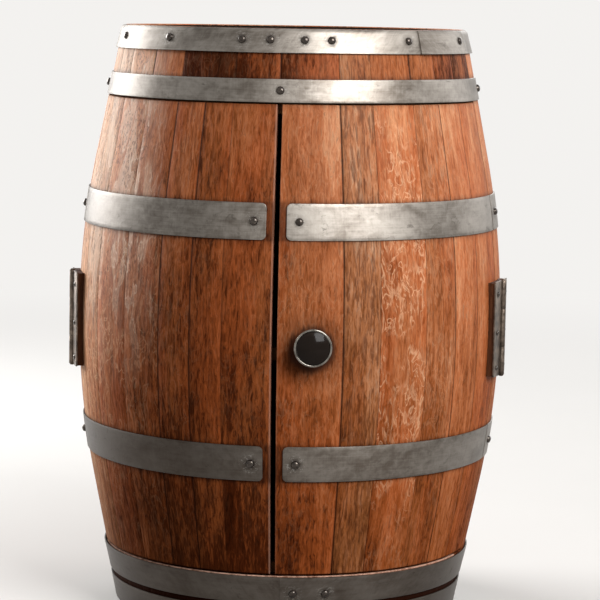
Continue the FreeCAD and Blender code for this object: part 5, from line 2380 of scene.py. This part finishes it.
@dataclass(frozen=True)
class ViewPoint:
    """The camera: where it stands and how it is turned, with the lens for a square picture."""

    distance: float = 4.1258
    height: float = 0.990
    swing: float = 0.06655
    pitch: float = 0.11829
    yaw: float = 0.00409
    roll: float = 0.01756
    focal_pixels: float = 2504.3
    picture_width: float = 600.0
    sensor: float = 36.0
    reach: float = 200.0

    def build(self) -> None:
        """Make the camera and choose it."""
        data = bpy.data.cameras.new("camera")
        data.sensor_width = self.sensor
        data.lens = self.focal_pixels / self.picture_width * self.sensor
        data.clip_end = self.reach
        level = cos(self.pitch)
        ahead = Vector((sin(self.yaw) * level, cos(self.yaw) * level, -sin(self.pitch)))
        right = Vector((cos(self.yaw), -sin(self.yaw), 0.0))
        up = right.cross(ahead)
        tilted_right = cos(self.roll) * right + sin(self.roll) * up
        tilted_up = -sin(self.roll) * right + cos(self.roll) * up
        turn = Matrix((tilted_right, tilted_up, -ahead)).transposed().to_4x4()
        swing = Matrix.Rotation(self.swing, 4, "Z")
        camera = put("camera", data)
        camera.matrix_world = swing @ Matrix.Translation(Vector((0, -self.distance, self.height))) @ turn
        bpy.context.scene.camera = camera


@dataclass(frozen=True)
class Lamp:
    """A soft square lamp that looks at a point on the barrel's axis."""

    name: str
    place: tuple[float, float, float]
    size: float
    power: float
    aim: float

    def build(self) -> None:
        """Hang the lamp."""
        data = bpy.data.lights.new(self.name, "AREA")
        data.size = self.size
        data.energy = self.power
        lamp = put(self.name, data)
        lamp.location = self.place
        back = Vector(self.place) - Vector((0, 0, self.aim))
        lamp.rotation_euler = back.to_track_quat("Z", "Y").to_euler()
        lamp.visible_camera = False


@dataclass(frozen=True)
class Studio:
    """Plain pale floor that fades into pale surroundings, and soft lamps."""

    floor_colour: Colour = (0.70, 0.685, 0.665)
    drift: float = 0.03
    sky_colour: Colour = (0.90, 0.885, 0.865)
    floor_reach: float = 40.0
    fade_start: float = 0.9
    fade_end: float = 4.5
    bounce_colour: Colour = (0.26, 0.245, 0.23)
    ambient: float = 0.18
    lamps: tuple[Lamp, ...] = (
        Lamp("key", (2.0, -2.5, 2.4), size=1.9, power=136.0, aim=0.6),
        Lamp("left", (-3.0, 1.7, 1.7), size=2.4, power=195.0, aim=0.6),
        Lamp("right", (3.1, 1.7, 1.8), size=2.2, power=36.0, aim=0.6),
        Lamp("back", (0.9, 3.8, 2.4), size=2.2, power=45.0, aim=0.5),
    )

    def floor(self) -> None:
        """Lay the floor."""
        mesh = bpy.data.meshes.new("floor")
        reach = self.floor_reach
        corners = [(-reach, -reach, 0), (reach, -reach, 0), (reach, reach, 0), (-reach, reach, 0)]
        mesh.from_pydata(corners, [], [(0, 1, 2, 3)])
        material, graph, shader = new_material("pale_floor")
        place = graph.add("ShaderNodeTexCoord").outputs["Object"]
        drift = graph.noise(place, (1.5, 1.5, 1.5), 3.0)
        factors = (1 - self.drift, 1 + self.drift)
        shades = [tuple(channel * factor for channel in self.floor_colour) for factor in factors]
        given_back = graph.add("ShaderNodeLightPath").outputs["Is Diffuse Ray"]
        colour = graph.mix(given_back, graph.mix(drift, shades[0], shades[1]), self.bounce_colour)
        graph.feed(shader, {"Base Color": colour, "Roughness": 0.75, "Specular IOR Level": 0.2})
        away = graph.add("ShaderNodeVectorMath", {0: place}, operation="LENGTH").outputs["Value"]
        fade = graph.product(graph.remap(away, self.fade_start, self.fade_end), self.seen(graph))
        glow = graph.out("ShaderNodeEmission", {"Color": (*self.sky_colour, 1.0), "Strength": 1.0})
        blend = graph.out("ShaderNodeMixShader", {0: fade, 1: shader.outputs[0], 2: glow})
        output = next(node for node in material.node_tree.nodes if node.type == "OUTPUT_MATERIAL")
        graph.feed(output, {"Surface": blend})
        mesh.materials.append(material)
        put("floor", mesh)

    @staticmethod
    def seen(graph: Graph) -> Socket:
        """1 for rays that show the surroundings, directly or in metal and glass; otherwise 0.

        Args:
            graph: The graph to work in.

        Returns:
            The number.
        """
        rays = graph.add("ShaderNodeLightPath").outputs
        shown = graph.most(rays["Is Camera Ray"], rays["Is Glossy Ray"])
        return graph.most(shown, rays["Is Transmission Ray"])

    def build(self) -> None:
        """Make the floor, the surroundings and the lamps."""
        self.floor()
        world = bpy.data.worlds.new("pale_surroundings")
        bpy.context.scene.world = world
        world.use_nodes = True
        world.node_tree.nodes.clear()
        graph = Graph(world.node_tree)
        strength = graph.remap(self.seen(graph), 0.0, 1.0, self.ambient, 1.0)
        light = graph.out("ShaderNodeBackground", {"Color": (*self.sky_colour, 1.0), "Strength": strength})
        graph.add("ShaderNodeOutputWorld", {"Surface": light})
        for lamp in self.lamps:
            lamp.build()
        bpy.context.scene.view_settings.view_transform = "Standard"


def main() -> None:
    """Build every piece, the camera and the studio."""
    logging.basicConfig(level=logging.INFO, format="%(name)s: %(message)s")
    ViewPoint().build()
    Studio().build()
    finishes = Finishes()
    bender = Bender()
    fastener = Fastener()
    heads = Heads()
    hoops = Hoops(bender, finishes)
    Staves(bender, finishes).build()
    hoops.build()
    Nails(fastener, heads, hoops, finishes).build()
    Hinges(fastener, heads, finishes).build()
    Knob(finishes).build()
    Inside(bender, finishes).build()
    heads.clear()


if __name__ == "__main__":
    main()
